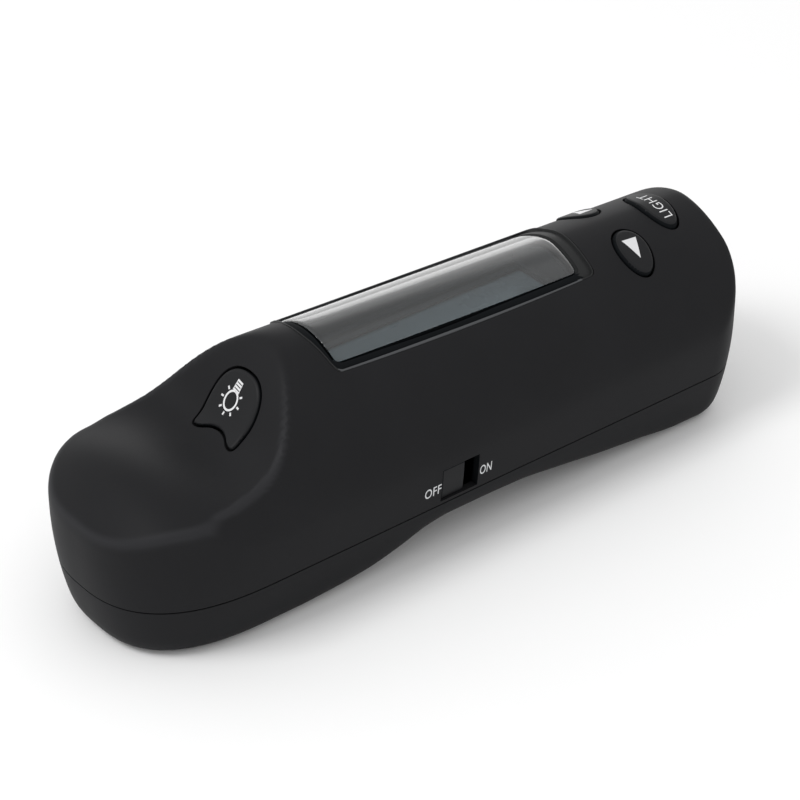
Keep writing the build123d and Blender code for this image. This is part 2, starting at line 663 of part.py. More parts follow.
# light shroud: keeps stray light off the display, from its frame up to the trim
S_SHROUD = skin(3.5)
with BuildPart() as display_shroud:
    add(S_SHROUD)
    block(-30.6, 52.8, -14.2, 14.2, 49.8, 80, mode=Mode.INTERSECT)
    block(-29.6, 51.8, -13.0, 13.0, 50.8, 80, mode=Mode.SUBTRACT)
    block(-20.5, 50.5, -10.8, 10.8, 49, 80, mode=Mode.SUBTRACT)
save(display_shroud, "display_shroud")

with BuildPart() as controller_chip:
    block(3.0, 17.0, -7.0, 7.0, 32.6, 34.2)
save(controller_chip, "controller_chip")

with BuildPart() as memory_chips:
    block(26.0, 34.0, 1.0, 7.0, 32.6, 33.8)
    block(26.0, 34.0, -7.0, -1.0, 32.6, 33.8)
save(memory_chips, "memory_chips")

with BuildPart() as capacitors:
    for x, y in ((42.0, 6.0), (42.0, -6.0), (43.0, 14.0), (-12.0, 14.0)):
        post(x, y, 2.5, 32.6, 37.8)
save(capacitors, "capacitors")

with BuildPart() as buzzer:
    post(-18.0, -6.0, 6.0, 32.6, 37.6)
    post(-18.0, -6.0, 1.2, 36.6, 38.6, mode=Mode.SUBTRACT)
save(buzzer, "buzzer")

with BuildPart() as cell_holder:
    with BuildSketch(Plane.XY.offset(32.6)):
        with Locations((70.0, 0)):
            Circle(11.2)
    extrude(amount=4.0)
    with BuildSketch(Plane.XY.offset(33.4)):
        with Locations((70.0, 0)):
            Circle(10.2)
    extrude(amount=5.0, mode=Mode.SUBTRACT)
save(cell_holder, "cell_holder")

with BuildPart() as coin_cell:
    post(70.0, 0.0, 10.0, 33.4, 36.6)
save(coin_cell, "coin_cell")

with BuildPart() as pin_headers:
    block(-31.5, -28.5, -10.0, 10.0, 32.6, 36.0)
    block(86.0, 92.0, -8.0, 8.0, 32.6, 36.0)
save(pin_headers, "pin_headers")

with BuildPart() as display_cable:
    with BuildSketch(Plane.XZ.offset(-8.0)):
        with BuildLine():
            Polyline((-30.2, 36.0), (-29.9, 36.0), (-29.9, 42.4), (-26.0, 42.4), (-26.0, 42.8), (-30.2, 42.8), (-30.2, 36.0))
        make_face()
    extrude(amount=16.0)
save(display_cable, "display_cable")

# ---------------------------------------------------------------------------
# Measuring head over the port in the nose
# ---------------------------------------------------------------------------
with BuildPart() as port_plate:
    post(PORT_X, 0, 17.0, 0, 1.2)
    post(PORT_X, 0, 12.0, 1.2, 2.3)
    post(PORT_X, 0, 4.0, -1, 3, mode=Mode.SUBTRACT)
    with Locations((PORT_X, 0, 1.5)):
        Cone(4.0, 6.2, 1.0, align=(Align.CENTER, Align.CENTER, Align.MIN), mode=Mode.SUBTRACT)
    for a in (90, 210, 330):
        x, y = PORT_X + 9.6 * math.cos(math.radians(a)), 9.6 * math.sin(math.radians(a))
        post(x, y, 1.1, -1, 3, mode=Mode.SUBTRACT)
        post(x, y, 2.0, -1, 1.0, mode=Mode.SUBTRACT)
save(port_plate, "port_plate")

with BuildPart() as port_screws:
    for a in (90, 210, 330):
        x, y = PORT_X + 9.6 * math.cos(math.radians(a)), 9.6 * math.sin(math.radians(a))
        post(x, y, 1.9, 0.15, 1.0)
        post(x, y, 1.0, 1.0, 8.0)
        with Locations((x, y, 0.15)):
            Box(2.2, 0.5, 0.9, mode=Mode.SUBTRACT)
            Box(0.5, 2.2, 0.9, mode=Mode.SUBTRACT)
save(port_screws, "port_screws")

with BuildPart() as sphere_lower:
    post(PORT_X, 0, 16.3, 2.35, 18.5)
    with Locations((PORT_X, 0, 18.5)):
        Sphere(12.5, mode=Mode.SUBTRACT)
    post(PORT_X, 0, 6.0, 2, 12, mode=Mode.SUBTRACT)
    post(PORT_X, 0, 7.6, 2, 3.6, mode=Mode.SUBTRACT)
    for a in (90, 210, 330):
        x, y = PORT_X + 9.6 * math.cos(math.radians(a)), 9.6 * math.sin(math.radians(a))
        post(x, y, 1.1, 2, 8.6, mode=Mode.SUBTRACT)
    for a in (30, 150, 270):
        x, y = PORT_X + 14.4 * math.cos(math.radians(a)), 14.4 * math.sin(math.radians(a))
        post(x, y, 0.8, 12.5, 19, mode=Mode.SUBTRACT)
save(sphere_lower, "sphere_lower")

with BuildPart() as port_glass:
    post(PORT_X, 0, 7.4, 2.4, 3.5)
save(port_glass, "port_glass")

with BuildPart() as sphere_upper:
    post(PORT_X, 0, 16.3, 18.5, 32.6)
    with Locations((PORT_X, 0, 18.5)):
        Sphere(12.5, mode=Mode.SUBTRACT)
    post(PORT_X, 0, 3.0, 28, 34, mode=Mode.SUBTRACT)
    for a in (45, 135, 225, 315):
        x, y = PORT_X + 8.5 * math.cos(math.radians(a)), 8.5 * math.sin(math.radians(a))
        post(x, y, 1.7, 22, 34, mode=Mode.SUBTRACT)
    for a in (30, 150, 270):
        x, y = PORT_X + 14.4 * math.cos(math.radians(a)), 14.4 * math.sin(math.radians(a))
        post(x, y, 0.9, 18, 34, mode=Mode.SUBTRACT)
save(sphere_upper, "sphere_upper")

with BuildPart() as head_screws:
    for a in (30, 150, 270):
        x, y = PORT_X + 14.4 * math.cos(math.radians(a)), 14.4 * math.sin(math.radians(a))
        post(x, y, 0.75, 13.0, 32.6)
        post(x, y, 1.5, 32.6, 33.8)
save(head_screws, "head_screws")

with BuildPart() as lamp_board:
    post(PORT_X, 0, 12.2, 33.6, 34.6)
    post(PORT_X, 0, 4.6, 33, 35, mode=Mode.SUBTRACT)
save(lamp_board, "lamp_board")

with BuildPart() as lamps:
    for a in (45, 135, 225, 315):
        x, y = PORT_X + 8.5 * math.cos(math.radians(a)), 8.5 * math.sin(math.radians(a))
        post(x, y, 1.5, 29.5, 33.6)
        with Locations((x, y, 29.5)):
            Sphere(1.5)
save(lamps, "lamps")

with BuildPart() as view_tube:
    post(PORT_X, 0, 4.4, 32.6, 37.0)
    post(PORT_X, 0, 2.9, 30.0, 37.0)
    post(PORT_X, 0, 2.1, 29, 36.0, mode=Mode.SUBTRACT)
    post(PORT_X, 0, 2.6, 34.6, 38, mode=Mode.SUBTRACT)
save(view_tube, "view_tube")

with BuildPart() as collector_lens:
    post(PORT_X, 0, 2.5, 34.6, 35.4)
    with Locations((PORT_X, 0, 31.9)):
        Sphere(4.3, mode=Mode.ADD)
    post(PORT_X, 0, 2.5, 34.6, 40, mode=Mode.INTERSECT)
save(collector_lens, "collector_lens")

with BuildPart() as colour_sensor:
    block(PORT_X - 2.5, PORT_X + 2.5, -2.5, 2.5, 37.0, 38.2)
save(colour_sensor, "colour_sensor")

with BuildPart() as sensor_board:
    with BuildSketch(Plane.XY.offset(38.2)):
        with Locations((PORT_X + 2, 0)):
            RectangleRounded(22, 22, 2)
    extrude(amount=1.0)
save(sensor_board, "sensor_board")

with BuildPart() as sensor_posts:
    for sx in (-1, 1):
        post(PORT_X + sx * 7.0, 7.6, 1.3, 34.6, 38.2)
        post(PORT_X + sx * 7.0, -7.6, 1.3, 34.6, 38.2)
save(sensor_posts, "sensor_posts")

with BuildPart() as sensor_cable:
    with BuildSketch(Plane.XZ.offset(-10.6)):
        with BuildLine():
            Polyline((-64.0, 38.2), (-58.0, 38.2), (-52.0, 33.0), (-31.5, 33.0), (-31.5, 32.7), (-52.1, 32.7), (-58.1, 37.9),
                     (-64.0, 37.9), (-64.0, 38.2))
        make_face()
    extrude(amount=-5.0)
save(sensor_cable, "sensor_cable")
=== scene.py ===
import bpy
import bmesh
import json
import math
import numpy as np
from mathutils import Vector, Matrix
from mathutils.bvhtree import BVHTree
from mathutils.kdtree import KDTree


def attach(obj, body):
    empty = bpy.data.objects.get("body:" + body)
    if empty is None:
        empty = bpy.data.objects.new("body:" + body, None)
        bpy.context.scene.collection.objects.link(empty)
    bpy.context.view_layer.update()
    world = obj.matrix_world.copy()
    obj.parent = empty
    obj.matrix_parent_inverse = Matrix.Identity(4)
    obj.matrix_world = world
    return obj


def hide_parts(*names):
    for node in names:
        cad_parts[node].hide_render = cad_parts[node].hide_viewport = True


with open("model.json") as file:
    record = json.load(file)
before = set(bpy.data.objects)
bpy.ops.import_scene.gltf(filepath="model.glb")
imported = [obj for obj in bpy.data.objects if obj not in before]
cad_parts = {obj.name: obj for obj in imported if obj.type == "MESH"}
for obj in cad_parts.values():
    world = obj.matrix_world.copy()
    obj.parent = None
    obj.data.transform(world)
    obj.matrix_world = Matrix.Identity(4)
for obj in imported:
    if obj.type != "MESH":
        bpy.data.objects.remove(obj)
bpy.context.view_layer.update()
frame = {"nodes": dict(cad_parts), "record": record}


NODES = frame["nodes"]
MM = 0.001

# ---------------------------------------------------------------------------
# Body form, millimetres, the same functions that shape the solid model
# ---------------------------------------------------------------------------
L = 210.0            # overall length
W = 62.7             # overall width
NOSE_R = 41.9        # length of the rounded nose in plan
NOSE_N = 2.54        # superellipse exponent of the nose
HEEL_R = 14.3        # rear corner size in plan
HEEL_N = 2.06        # superellipse exponent of the rear corners
Z_WIDE = 30.2        # height of the widest line
ARCH_P = 1.725       # arch section exponents
ARCH_Q = 1.529
DRAFT_B = 66.4       # how the side walls draw in below the widest line
DRAFT_P = 1.795
Z_PART = 16.6        # parting plane between the shells
H_86 = 65.8          # arch height at s = 86
H_END = 59.2         # arch height at the rear face
SCOOP_S = [0, 12, 24, 36, 48, 60, 72, 84, 104]
SCOOP_Z = [36.4, 45.2, 46.0, 43.5, 47.6, 64.4, 67.2, 69.0, 77.0]
CROWN_S = [0, 20, 48, 72, 104]
CROWN_Z = [6.4, 6.4, -4.6, 0.6, 0.6]
BASE_S = [0, 50, 62, 74, 84, 92, 100, 110, 124, 140, 156, 172, 188, 210]
BASE_Z = [0, 0, 0.6, 2.1, 5.05, 8.0, 9.18, 9.2, 8.85, 6.75, 4.15, 2.1, 0, 0]
BLEND_K = 2.2        # softness of the lip between scoop and arch
SIG_BASE = 4.1       # corner softness, lower edge
SIG_RIM = 1.6        # corner softness, upper rim
FLAT = 0.3           # the skin is drawn this far under z = 0 and planed off there


def pchip(xk, yk, x):
    xk, yk = np.asarray(xk, float), np.asarray(yk, float)
    x = np.clip(x, xk[0], xk[-1])
    h, dl = np.diff(xk), np.diff(yk) / np.diff(xk)
    m = np.zeros(len(xk))
    for i in range(1, len(xk) - 1):
        if dl[i - 1] * dl[i] > 0:
            w1, w2 = 2 * h[i] + h[i - 1], h[i] + 2 * h[i - 1]
            m[i] = (w1 + w2) / (w1 / dl[i - 1] + w2 / dl[i])
    m[0], m[-1] = dl[0], dl[-1]
    i = np.clip(np.searchsorted(xk, x, side="right") - 1, 0, len(h) - 1)
    t = (x - xk[i]) / h[i]
    return ((2 * t**3 - 3 * t**2 + 1) * yk[i] + (t**3 - 2 * t**2 + t) * h[i] * m[i]
            + (-2 * t**3 + 3 * t**2) * yk[i + 1] + (t**3 - t**2) * h[i] * m[i + 1])


def natspline(xk, yk, x):
    xk, yk = np.asarray(xk, float), np.asarray(yk, float)
    n, h, dl = len(xk), np.diff(xk), np.diff(yk) / np.diff(xk)
    A, b = np.zeros((n, n)), np.zeros(n)
    A[0, 0], A[0, 1], b[0] = 2, 1, 3 * dl[0]
    A[-1, -1], A[-1, -2], b[-1] = 2, 1, 3 * dl[-1]
    for i in range(1, n - 1):
        A[i, i - 1], A[i, i], A[i, i + 1] = h[i], 2 * (h[i - 1] + h[i]), h[i - 1]
        b[i] = 3 * (h[i] * dl[i - 1] + h[i - 1] * dl[i])
    m = np.linalg.solve(A, b)
    x = np.clip(x, xk[0], xk[-1])
    i = np.clip(np.searchsorted(xk, x, side="right") - 1, 0, n - 2)
    t = (x - xk[i]) / h[i]
    return ((2 * t**3 - 3 * t**2 + 1) * yk[i] + (t**3 - 2 * t**2 + t) * h[i] * m[i]
            + (-2 * t**3 + 3 * t**2) * yk[i + 1] + (t**3 - t**2) * h[i] * m[i + 1])


def arch_height(s):
    return H_86 + (H_END - H_86) / (L - 86) * (np.asarray(s, float) - 86)


def base_height(s):
    return pchip(BASE_S, BASE_Z, s) - FLAT


def top_height(s, y):
    """height of the upper surface over the plan point (s, y)"""
    s, u = np.asarray(s, float), np.clip(np.abs(y) / (W / 2), 0, 1)
    arch = Z_WIDE + (arch_height(s) - Z_WIDE) * np.clip(1 - u**ARCH_P, 0, 1) ** (1 / ARCH_Q)
    scoop = (natspline(SCOOP_S, SCOOP_Z, np.clip(s, 0, 104))
             - natspline(CROWN_S, CROWN_Z, np.clip(s, 0, 104)) * u**2
             + np.clip(s - 84, 0, None) ** 2 * 0.02)
    h = np.clip(0.5 + 0.5 * (scoop - arch) / BLEND_K, 0, 1)
    return scoop * (1 - h) + arch * h - BLEND_K * h * (1 - h)


def inset(z):
    u = np.clip((Z_WIDE - z) / DRAFT_B, 0, 0.98)
    return W / 2 * (1 - (1 - u**DRAFT_P) ** (1 / DRAFT_P))


def plan(nn, nm, nc, ne):
    w2 = W / 2
    th = np.linspace(0, 1, nn) * np.pi / 2
    nx = NOSE_R * (1 - np.cos(th) ** (2 / NOSE_N))
    ny = w2 * np.sin(th) ** (2 / NOSE_N)
    mx = np.linspace(NOSE_R, L - HEEL_R, nm)[1:-1]
    th = np.linspace(np.pi / 2, 0, nc)
    cx = L - HEEL_R + HEEL_R * np.cos(th) ** (2 / HEEL_N)
    cy = w2 - HEEL_R + HEEL_R * np.sin(th) ** (2 / HEEL_N)
    ey = np.linspace(w2 - HEEL_R, 0, ne + 1)[1:]
    return (np.r_[nx, mx, cx, np.full(ne, L)],
            np.r_[ny, np.full(mx.shape, w2), cy, ey])


def sections(nv, nn=24, nm=40, nc=10, ne=4):
    """rows of points over the +Y half of the skin, bottom centre to top centre"""
    X, Y = plan(nn, nm, nc, ne)
    dx, dy = np.gradient(X), np.gradient(Y)
    l = np.hypot(dx, dy) + 1e-12
    NX, NY = -dy / l, dx / l
    NX[0], NY[0], NX[-1], NY[-1] = -1, 0, 1, 0
    S = np.cumsum(np.r_[0, np.hypot(np.diff(X), np.diff(Y))])
    xe = L - HEEL_R
    s_nose, s_heel = np.interp(NOSE_R, X, S), np.interp(xe - 34, X, S)
    q0 = NOSE_R * 0.5
    xq = np.where(X < NOSE_R, q0 + (NOSE_R - q0) * S / s_nose, X)
    f = np.clip((S - s_heel) / (S[-1] - s_heel), 0, 1)
    xq = np.where(S > s_heel, xe - 34 + (L - 9 - xe + 34) * (1.35 * f - 0.35 * f * f), xq)
    out = np.zeros((len(X), nv, 3))
    for i in range(len(X)):
        P, Q = np.array([X[i], Y[i]]), np.array([xq[i], 0.0])
        R = np.hypot(*(P - Q))
        e = (P - Q) / R
        cosn = max(abs(e @ np.array([NX[i], NY[i]])), 0.35)
        rr = np.linspace(0, R, 700)
        px, py = Q[0] + e[0] * rr, np.abs(e[1] * rr)
        h, zb = top_height(px, py), base_height(px)
        zwall = np.linspace(zb[-1], max(h[-1], zb[-1] + 1), 220)
        rw = R - inset(zwall) / cosn
        rb = np.linspace(0, rw[0], 30)
        rt = rw[-1]
        m = rr < rt
        rtop = np.r_[rt, rr[m][::-1]]
        ztop = np.r_[np.interp(rt, rr, h), h[m][::-1]]
        k = zwall <= ztop[0]
        r_ = np.r_[rb[:-1], rw[k], rtop]
        z_ = np.r_[np.interp(rb, rr, zb)[:-1], zwall[k], ztop]
        s = np.r_[0, np.cumsum(np.hypot(np.diff(r_), np.diff(z_)))]
        s_rim = np.interp(len(rb) - 1 + k.sum(), np.arange(len(s)), s)
        n = 760
        su = np.linspace(0, s[-1], n)
        r2, z2 = np.interp(su, s, r_), np.interp(su, s, z_)
        ds = s[-1] / (n - 1)
        re = np.r_[-r2[1:][::-1], r2, -r2[:-1][::-1]]
        ze = np.r_[z2[1:][::-1], z2, z2[:-1][::-1]]

        def soft(v, sig):
            w = int(np.ceil(3.5 * sig / ds))
            g = np.exp(-((np.arange(-w, w + 1) * ds) ** 2) / 2 / sig**2)
            return np.convolve(v, g / g.sum(), "same")[n - 1 : 2 * n - 1]

        def ramp(a, b):
            t = np.clip((su - a) / (b - a), 0, 1)
            return t * t * (3 - 2 * t)

        bl = ramp(rw[0] + 8, rw[0] + 16)
        r3 = soft(re, SIG_BASE) * (1 - bl) + soft(re, SIG_RIM) * bl
        z3 = soft(ze, SIG_BASE) * (1 - bl) + soft(ze, SIG_RIM) * bl
        keep = np.clip(1 - ramp(rw[0] - 16, rw[0] - 10) + ramp(s_rim + 4, s_rim + 9), 0, 1)
        r3, z3 = r3 * (1 - keep) + r2 * keep, z3 * (1 - keep) + z2 * keep
        r3[0] = r3[-1] = 0
        n1, n2 = int(nv * 0.26), int(nv * 0.34)
        s_cor = rw[0]
        sv = np.r_[np.linspace(0, s_cor, n1), np.linspace(s_cor, s_rim, n2 + 1)[1:],
                   np.linspace(s_rim, s[-1], nv - n1 - n2 + 1)[1:]]
        r4, z4 = np.interp(sv, su, r3), np.interp(sv, su, z3)
        out[i, :, 0] = Q[0] + e[0] * r4 - L / 2
        out[i, :, 1] = e[1] * r4
        out[i, :, 2] = z4
    return out


def normals(P):
    N = np.cross(np.gradient(P, axis=1), np.gradient(P, axis=0))
    for row in (0, -1):
        N[row, 0], N[row, -1] = N[row, 1], N[row, -2]
    N /= np.linalg.norm(N, axis=2, keepdims=True) + 1e-12
    ref = P - np.stack([np.clip(P[..., 0], -75, 85), 0 * P[..., 0], np.full(P.shape[:2], 28.0)], -1)
    N *= np.sign((N * ref).sum(2, keepdims=True))
    for row in (0, -1):
        N[row, :, 1] = 0
        N[:, row, 1] = 0
    return N / np.linalg.norm(N, axis=2, keepdims=True)


# ---------------------------------------------------------------------------
# Materials
# ---------------------------------------------------------------------------
def nodes_of(name):
    m = bpy.data.materials.new(name)
    m.use_nodes = True
    nt = m.node_tree
    return m, nt, nt.nodes["Principled BSDF"]


def add_node(nt, kind, **inputs):
    n = nt.nodes.new(kind)
    for k, v in inputs.items():
        n.inputs[k.replace("_", " ")].default_value = v
    return n


def plastic(name, color, rough=0.5, grain=0.0, grain_scale=2500.0, spec=0.5, edge=0.0002, vary=0.08, wear=0.0, coat=0.0,
            metallic=0.0, brushed=0.0, painted_highlight=0.0):
    """moulded plastic or plain metal: even colour with small changes, fine grain in the surface, softened edges"""
    m, nt, p = nodes_of(name)
    link = nt.links.new
    tc = nt.nodes.new("ShaderNodeTexCoord")
    big = add_node(nt, "ShaderNodeTexNoise", Scale=35.0, Detail=4.0, Roughness=0.6)
    link(tc.outputs["Object"], big.inputs["Vector"])
    ramp = nt.nodes.new("ShaderNodeValToRGB")
    c = np.array(color)
    ramp.color_ramp.elements[0].position, ramp.color_ramp.elements[1].position = 0.35, 0.7
    ramp.color_ramp.elements[0].color = (*(c * (1 - vary)), 1)
    ramp.color_ramp.elements[1].color = (*(c * (1 + vary)), 1)
    link(big.outputs["Fac"], ramp.inputs["Fac"])
    col = ramp.outputs["Color"]
    fine = add_node(nt, "ShaderNodeTexNoise", Scale=grain_scale, Detail=2.0, Roughness=0.55)
    if brushed:
        mp = nt.nodes.new("ShaderNodeMapping")
        mp.inputs["Scale"].default_value = (1.0, brushed, brushed)
        link(tc.outputs["Object"], mp.inputs["Vector"])
        link(mp.outputs["Vector"], fine.inputs["Vector"])
    else:
        link(tc.outputs["Object"], fine.inputs["Vector"])
    if wear:
        geo = nt.nodes.new("ShaderNodeNewGeometry")
        wr = nt.nodes.new("ShaderNodeValToRGB")
        wr.color_ramp.elements[0].position, wr.color_ramp.elements[1].position = 0.52, 0.62
        link(geo.outputs["Pointiness"], wr.inputs["Fac"])
        wn = add_node(nt, "ShaderNodeMath")
        wn.operation = "MULTIPLY"
        wn.inputs[1].default_value = wear
        link(wr.outputs["Color"], wn.inputs[0])
        mix = nt.nodes.new("ShaderNodeMix")
        mix.data_type = "RGBA"
        link(wn.outputs[0], mix.inputs["Factor"])
        link(col, mix.inputs[6])
        mix.inputs[7].default_value = (*(np.minimum(c * 2.6 + 0.02, 1)), 1)
        col = mix.outputs[2]
    # painted highlight: the base colour is lightened up to 2.7 times where the vertex attribute on the mesh is high
    if painted_highlight:
        at = nt.nodes.new("ShaderNodeAttribute")
        at.attribute_name = "painted_highlight"
        pm = add_node(nt, "ShaderNodeMath")
        pm.operation = "MULTIPLY"
        pm.inputs[1].default_value = painted_highlight
        link(at.outputs["Fac"], pm.inputs[0])
        mix = nt.nodes.new("ShaderNodeMix")
        mix.data_type = "RGBA"
        link(pm.outputs[0], mix.inputs["Factor"])
        link(col, mix.inputs[6])
        mix.inputs[7].default_value = (*(c * 2.7), 1)
        col = mix.outputs[2]
    link(col, p.inputs["Base Color"])
    rr = nt.nodes.new("ShaderNodeMapRange")
    rr.inputs["To Min"].default_value = max(rough - 0.05, 0.02)
    rr.inputs["To Max"].default_value = min(rough + 0.06, 1.0)
    link(big.outputs["Fac"], rr.inputs["Value"])
    link(rr.outputs["Result"], p.inputs["Roughness"])
    p.inputs["Specular IOR Level"].default_value = spec
    p.inputs["Metallic"].default_value = metallic
    p.inputs["Coat Weight"].default_value = coat
    last = None
    if edge:
        bv = nt.nodes.new("ShaderNodeBevel")
        bv.samples = 4
        bv.inputs["Radius"].default_value = edge
        last = bv.outputs["Normal"]
    if grain:
        bump = nt.nodes.new("ShaderNodeBump")
        bump.inputs["Strength"].default_value = grain
        bump.inputs["Distance"].default_value = 0.00006
        link(fine.outputs["Fac"], bump.inputs["Height"])
        if last:
            link(last, bump.inputs["Normal"])
        last = bump.outputs["Normal"]
    if last:
        link(last, p.inputs["Normal"])
    return m


def clear(name, color, rough=0.03, ior=1.49, waves=0.0, haze=0.0, haze_color=(0.05, 0.05, 0.05)):
    """clear moulded plastic or glass, lightly tinted"""
    m, nt, p = nodes_of(name)
    link = nt.links.new
    tc = nt.nodes.new("ShaderNodeTexCoord")
    n = add_node(nt, "ShaderNodeTexNoise", Scale=18.0, Detail=2.0)
    link(tc.outputs["Object"], n.inputs["Vector"])
    rr = nt.nodes.new("ShaderNodeMapRange")
    rr.inputs["To Min"].default_value = rough
    rr.inputs["To Max"].default_value = rough + 0.05
    link(n.outputs["Fac"], rr.inputs["Value"])
    gl = nt.nodes.new("ShaderNodeBsdfGlossy")
    gl.inputs["Color"].default_value = (1, 1, 1, 1)
    link(rr.outputs["Result"], gl.inputs["Roughness"])
    tr = nt.nodes.new("ShaderNodeBsdfTransparent")
    tr.inputs["Color"].default_value = (*color, 1)
    fr = nt.nodes.new("ShaderNodeFresnel")
    fr.inputs["IOR"].default_value = ior
    bump = nt.nodes.new("ShaderNodeBump")
    bump.inputs["Strength"].default_value = waves
    bump.inputs["Distance"].default_value = 0.0004
    link(n.outputs["Fac"], bump.inputs["Height"])
    link(bump.outputs["Normal"], gl.inputs["Normal"])
    link(bump.outputs["Normal"], fr.inputs["Normal"])
    # a sheet mirrors at both of its faces: 2F / (1 + F), all taken where light goes in
    two, one, div, geo, front, fac = [nt.nodes.new("ShaderNodeMath") for _ in range(3)] + [nt.nodes.new("ShaderNodeNewGeometry")] \
        + [nt.nodes.new("ShaderNodeMath") for _ in range(2)]
    two.operation, one.operation, div.operation, front.operation, fac.operation = "MULTIPLY", "ADD", "DIVIDE", "SUBTRACT", "MULTIPLY"
    link(fr.outputs["Fac"], two.inputs[0])
    two.inputs[1].default_value = 2.0
    link(fr.outputs["Fac"], one.inputs[0])
    one.inputs[1].default_value = 1.0
    link(two.outputs[0], div.inputs[0])
    link(one.outputs[0], div.inputs[1])
    front.inputs[0].default_value = 1.0
    link(geo.outputs["Backfacing"], front.inputs[1])
    link(div.outputs[0], fac.inputs[0])
    link(front.outputs[0], fac.inputs[1])
    mix = nt.nodes.new("ShaderNodeMixShader")
    link(fac.outputs[0], mix.inputs["Fac"])
    if haze:
        df = nt.nodes.new("ShaderNodeBsdfDiffuse")
        df.inputs["Color"].default_value = (*haze_color, 1)
        hm = nt.nodes.new("ShaderNodeMixShader")
        hm.inputs["Fac"].default_value = haze
        link(tr.outputs["BSDF"], hm.inputs[1])
        link(df.outputs["BSDF"], hm.inputs[2])
        link(hm.outputs["Shader"], mix.inputs[1])
    else:
        link(tr.outputs["BSDF"], mix.inputs[1])
    link(gl.outputs["BSDF"], mix.inputs[2])
    out = nt.nodes["Material Output"]
    link(mix.outputs["Shader"], out.inputs["Surface"])
    return m


# the shell carries a painted highlight (strength 0.45) that brightens its convex nose edges
SHELL = plastic("shell_black", (0.0138, 0.0139, 0.0151), rough=0.50, grain=0.30, grain_scale=2600, spec=0.070, edge=0.00025, vary=0.06, painted_highlight=0.45)
KEY = plastic("key_black", (0.0130, 0.0133, 0.0145), rough=0.44, grain=0.15, grain_scale=3200, spec=0.12, edge=0.0002, vary=0.05)
# trim colour, lighter than the shell and fairly glossy; on the window's near rim part of this lightness is a painted
# highlight on the bevel
TRIM = plastic("trim_black", (0.046, 0.049, 0.053), rough=0.30, grain=0.06, spec=0.5, edge=0.00012, vary=0.04)
# lighter copy of the trim colour for the far side of the window trim: painted light for the light its grazing face
# catches
FAR_LIT_M = plastic("trim_far_painted_light", (0.040, 0.041, 0.043), rough=0.42, grain=0.1, spec=0.34, edge=0.0001, vary=0.04)
BAND_M = plastic("trim_band", (0.017, 0.0175, 0.018), rough=0.5, grain=0.15, spec=0.16, edge=0.0001, vary=0.04)
# painted shade: near-black material laid on faces that stand in for shadow (slot walls, key flanks, lens edge, trim
# channel, slider edge line)
PAINTED_SHADE = plastic("painted_shade_black", (0.0035, 0.0045, 0.0055), rough=0.7, grain=0.0, spec=0.08, edge=0.0, vary=0.03)
RUBBER = plastic("rubber_black", (0.02, 0.02, 0.02), rough=0.8, grain=0.5, grain_scale=1500, spec=0.25)
INNER = plastic("inner_black", (0.02, 0.02, 0.021), rough=0.55, grain=0.2, spec=0.4)
WHITE_IN = plastic("inner_white", (0.78, 0.78, 0.76), rough=0.6, grain=0.1)
SPHERE = plastic("sphere_coating", (0.88, 0.88, 0.86), rough=0.9, grain=0.4, grain_scale=1800, spec=0.1)
STEEL = plastic("screw_steel", (0.36, 0.36, 0.37), rough=0.34, grain=0.2, grain_scale=600, metallic=1.0, vary=0.12)
TIN = plastic("tinned_steel", (0.58, 0.57, 0.54), rough=0.3, grain=0.15, grain_scale=500, metallic=1.0, vary=0.1, brushed=0.05)
BRASS = plastic("brass_turned", (0.55, 0.40, 0.16), rough=0.3, grain=0.1, grain_scale=700, metallic=1.0, vary=0.1)
ALU = plastic("aluminium_can", (0.6, 0.6, 0.62), rough=0.32, grain=0.1, grain_scale=800, metallic=1.0)
ANOD = plastic("anodised_black", (0.035, 0.035, 0.038), rough=0.38, grain=0.25, grain_scale=1600, metallic=0.6)
BOARD = plastic("board_green", (0.012, 0.085, 0.035), rough=0.35, grain=0.1, grain_scale=900, vary=0.2)
SLEEVE = plastic("cell_sleeve", (0.05, 0.06, 0.09), rough=0.25, grain=0.05, vary=0.1)
FILM = plastic("flex_film", (0.42, 0.20, 0.04), rough=0.3, grain=0.05)
RESIN = plastic("lamp_resin", (0.7, 0.7, 0.64), rough=0.12, grain=0.0)
PRINT = plastic("print_white", (0.64, 0.65, 0.66), rough=0.6, grain=0.2, grain_scale=3000, edge=0.0, vary=0.06)
PRINT_KEY = plastic("print_key_white", (0.72, 0.72, 0.73), rough=0.55, grain=0.15, grain_scale=3000, edge=0.0, vary=0.05)
LENS_M = clear("window_clear", (0.80, 0.835, 0.85), rough=0.07, ior=1.49, waves=0.0, haze=0.10, haze_color=(0.030, 0.033, 0.036))
GLASS_M = clear("port_glass_clear", (0.93, 0.96, 0.95), rough=0.01, ior=1.5)
FACE = plastic("display_face", (0.132, 0.172, 0.188), rough=0.28, grain=0.0, spec=0.5, edge=0.0, vary=0.05)
SHROUD_M = plastic("shroud_grey", (0.050, 0.052, 0.054), rough=0.6, grain=0.05, spec=0.2, edge=0.0, vary=0.03)
DARKFRAME = plastic("display_frame_dark", (0.03, 0.031, 0.033), rough=0.4, grain=0.1, grain_scale=700, vary=0.1)

BY_SLOT = {
    "black_shell": SHELL, "key_plastic": KEY, "trim_plastic": TRIM, "window_lens": LENS_M, "rubber_pad": RUBBER,
    "steel": STEEL, "tinned_steel": TIN, "white_plastic": WHITE_IN, "inner_black": INNER, "board_green": BOARD,
    "brass_post": BRASS, "cell_wrap": SLEEVE, "display_face": FACE, "capacitor_can": ALU, "flex_film": FILM,
    "port_metal": ANOD, "sphere_white": SPHERE, "clear_glass": GLASS_M, "lamp_resin": RESIN,
}
for sp in frame["record"]["subparts"]:
    o = NODES[sp["node"]]
    mat = BY_SLOT[sp["material_slot"]]
    if sp["node"] == "display_frame":
        mat = DARKFRAME
    if sp["node"] == "display_shroud":
        mat = SHROUD_M
    o.data.materials.clear()
    o.data.materials.append(mat)
    for poly in o.data.polygons:
        poly.material_index = 0


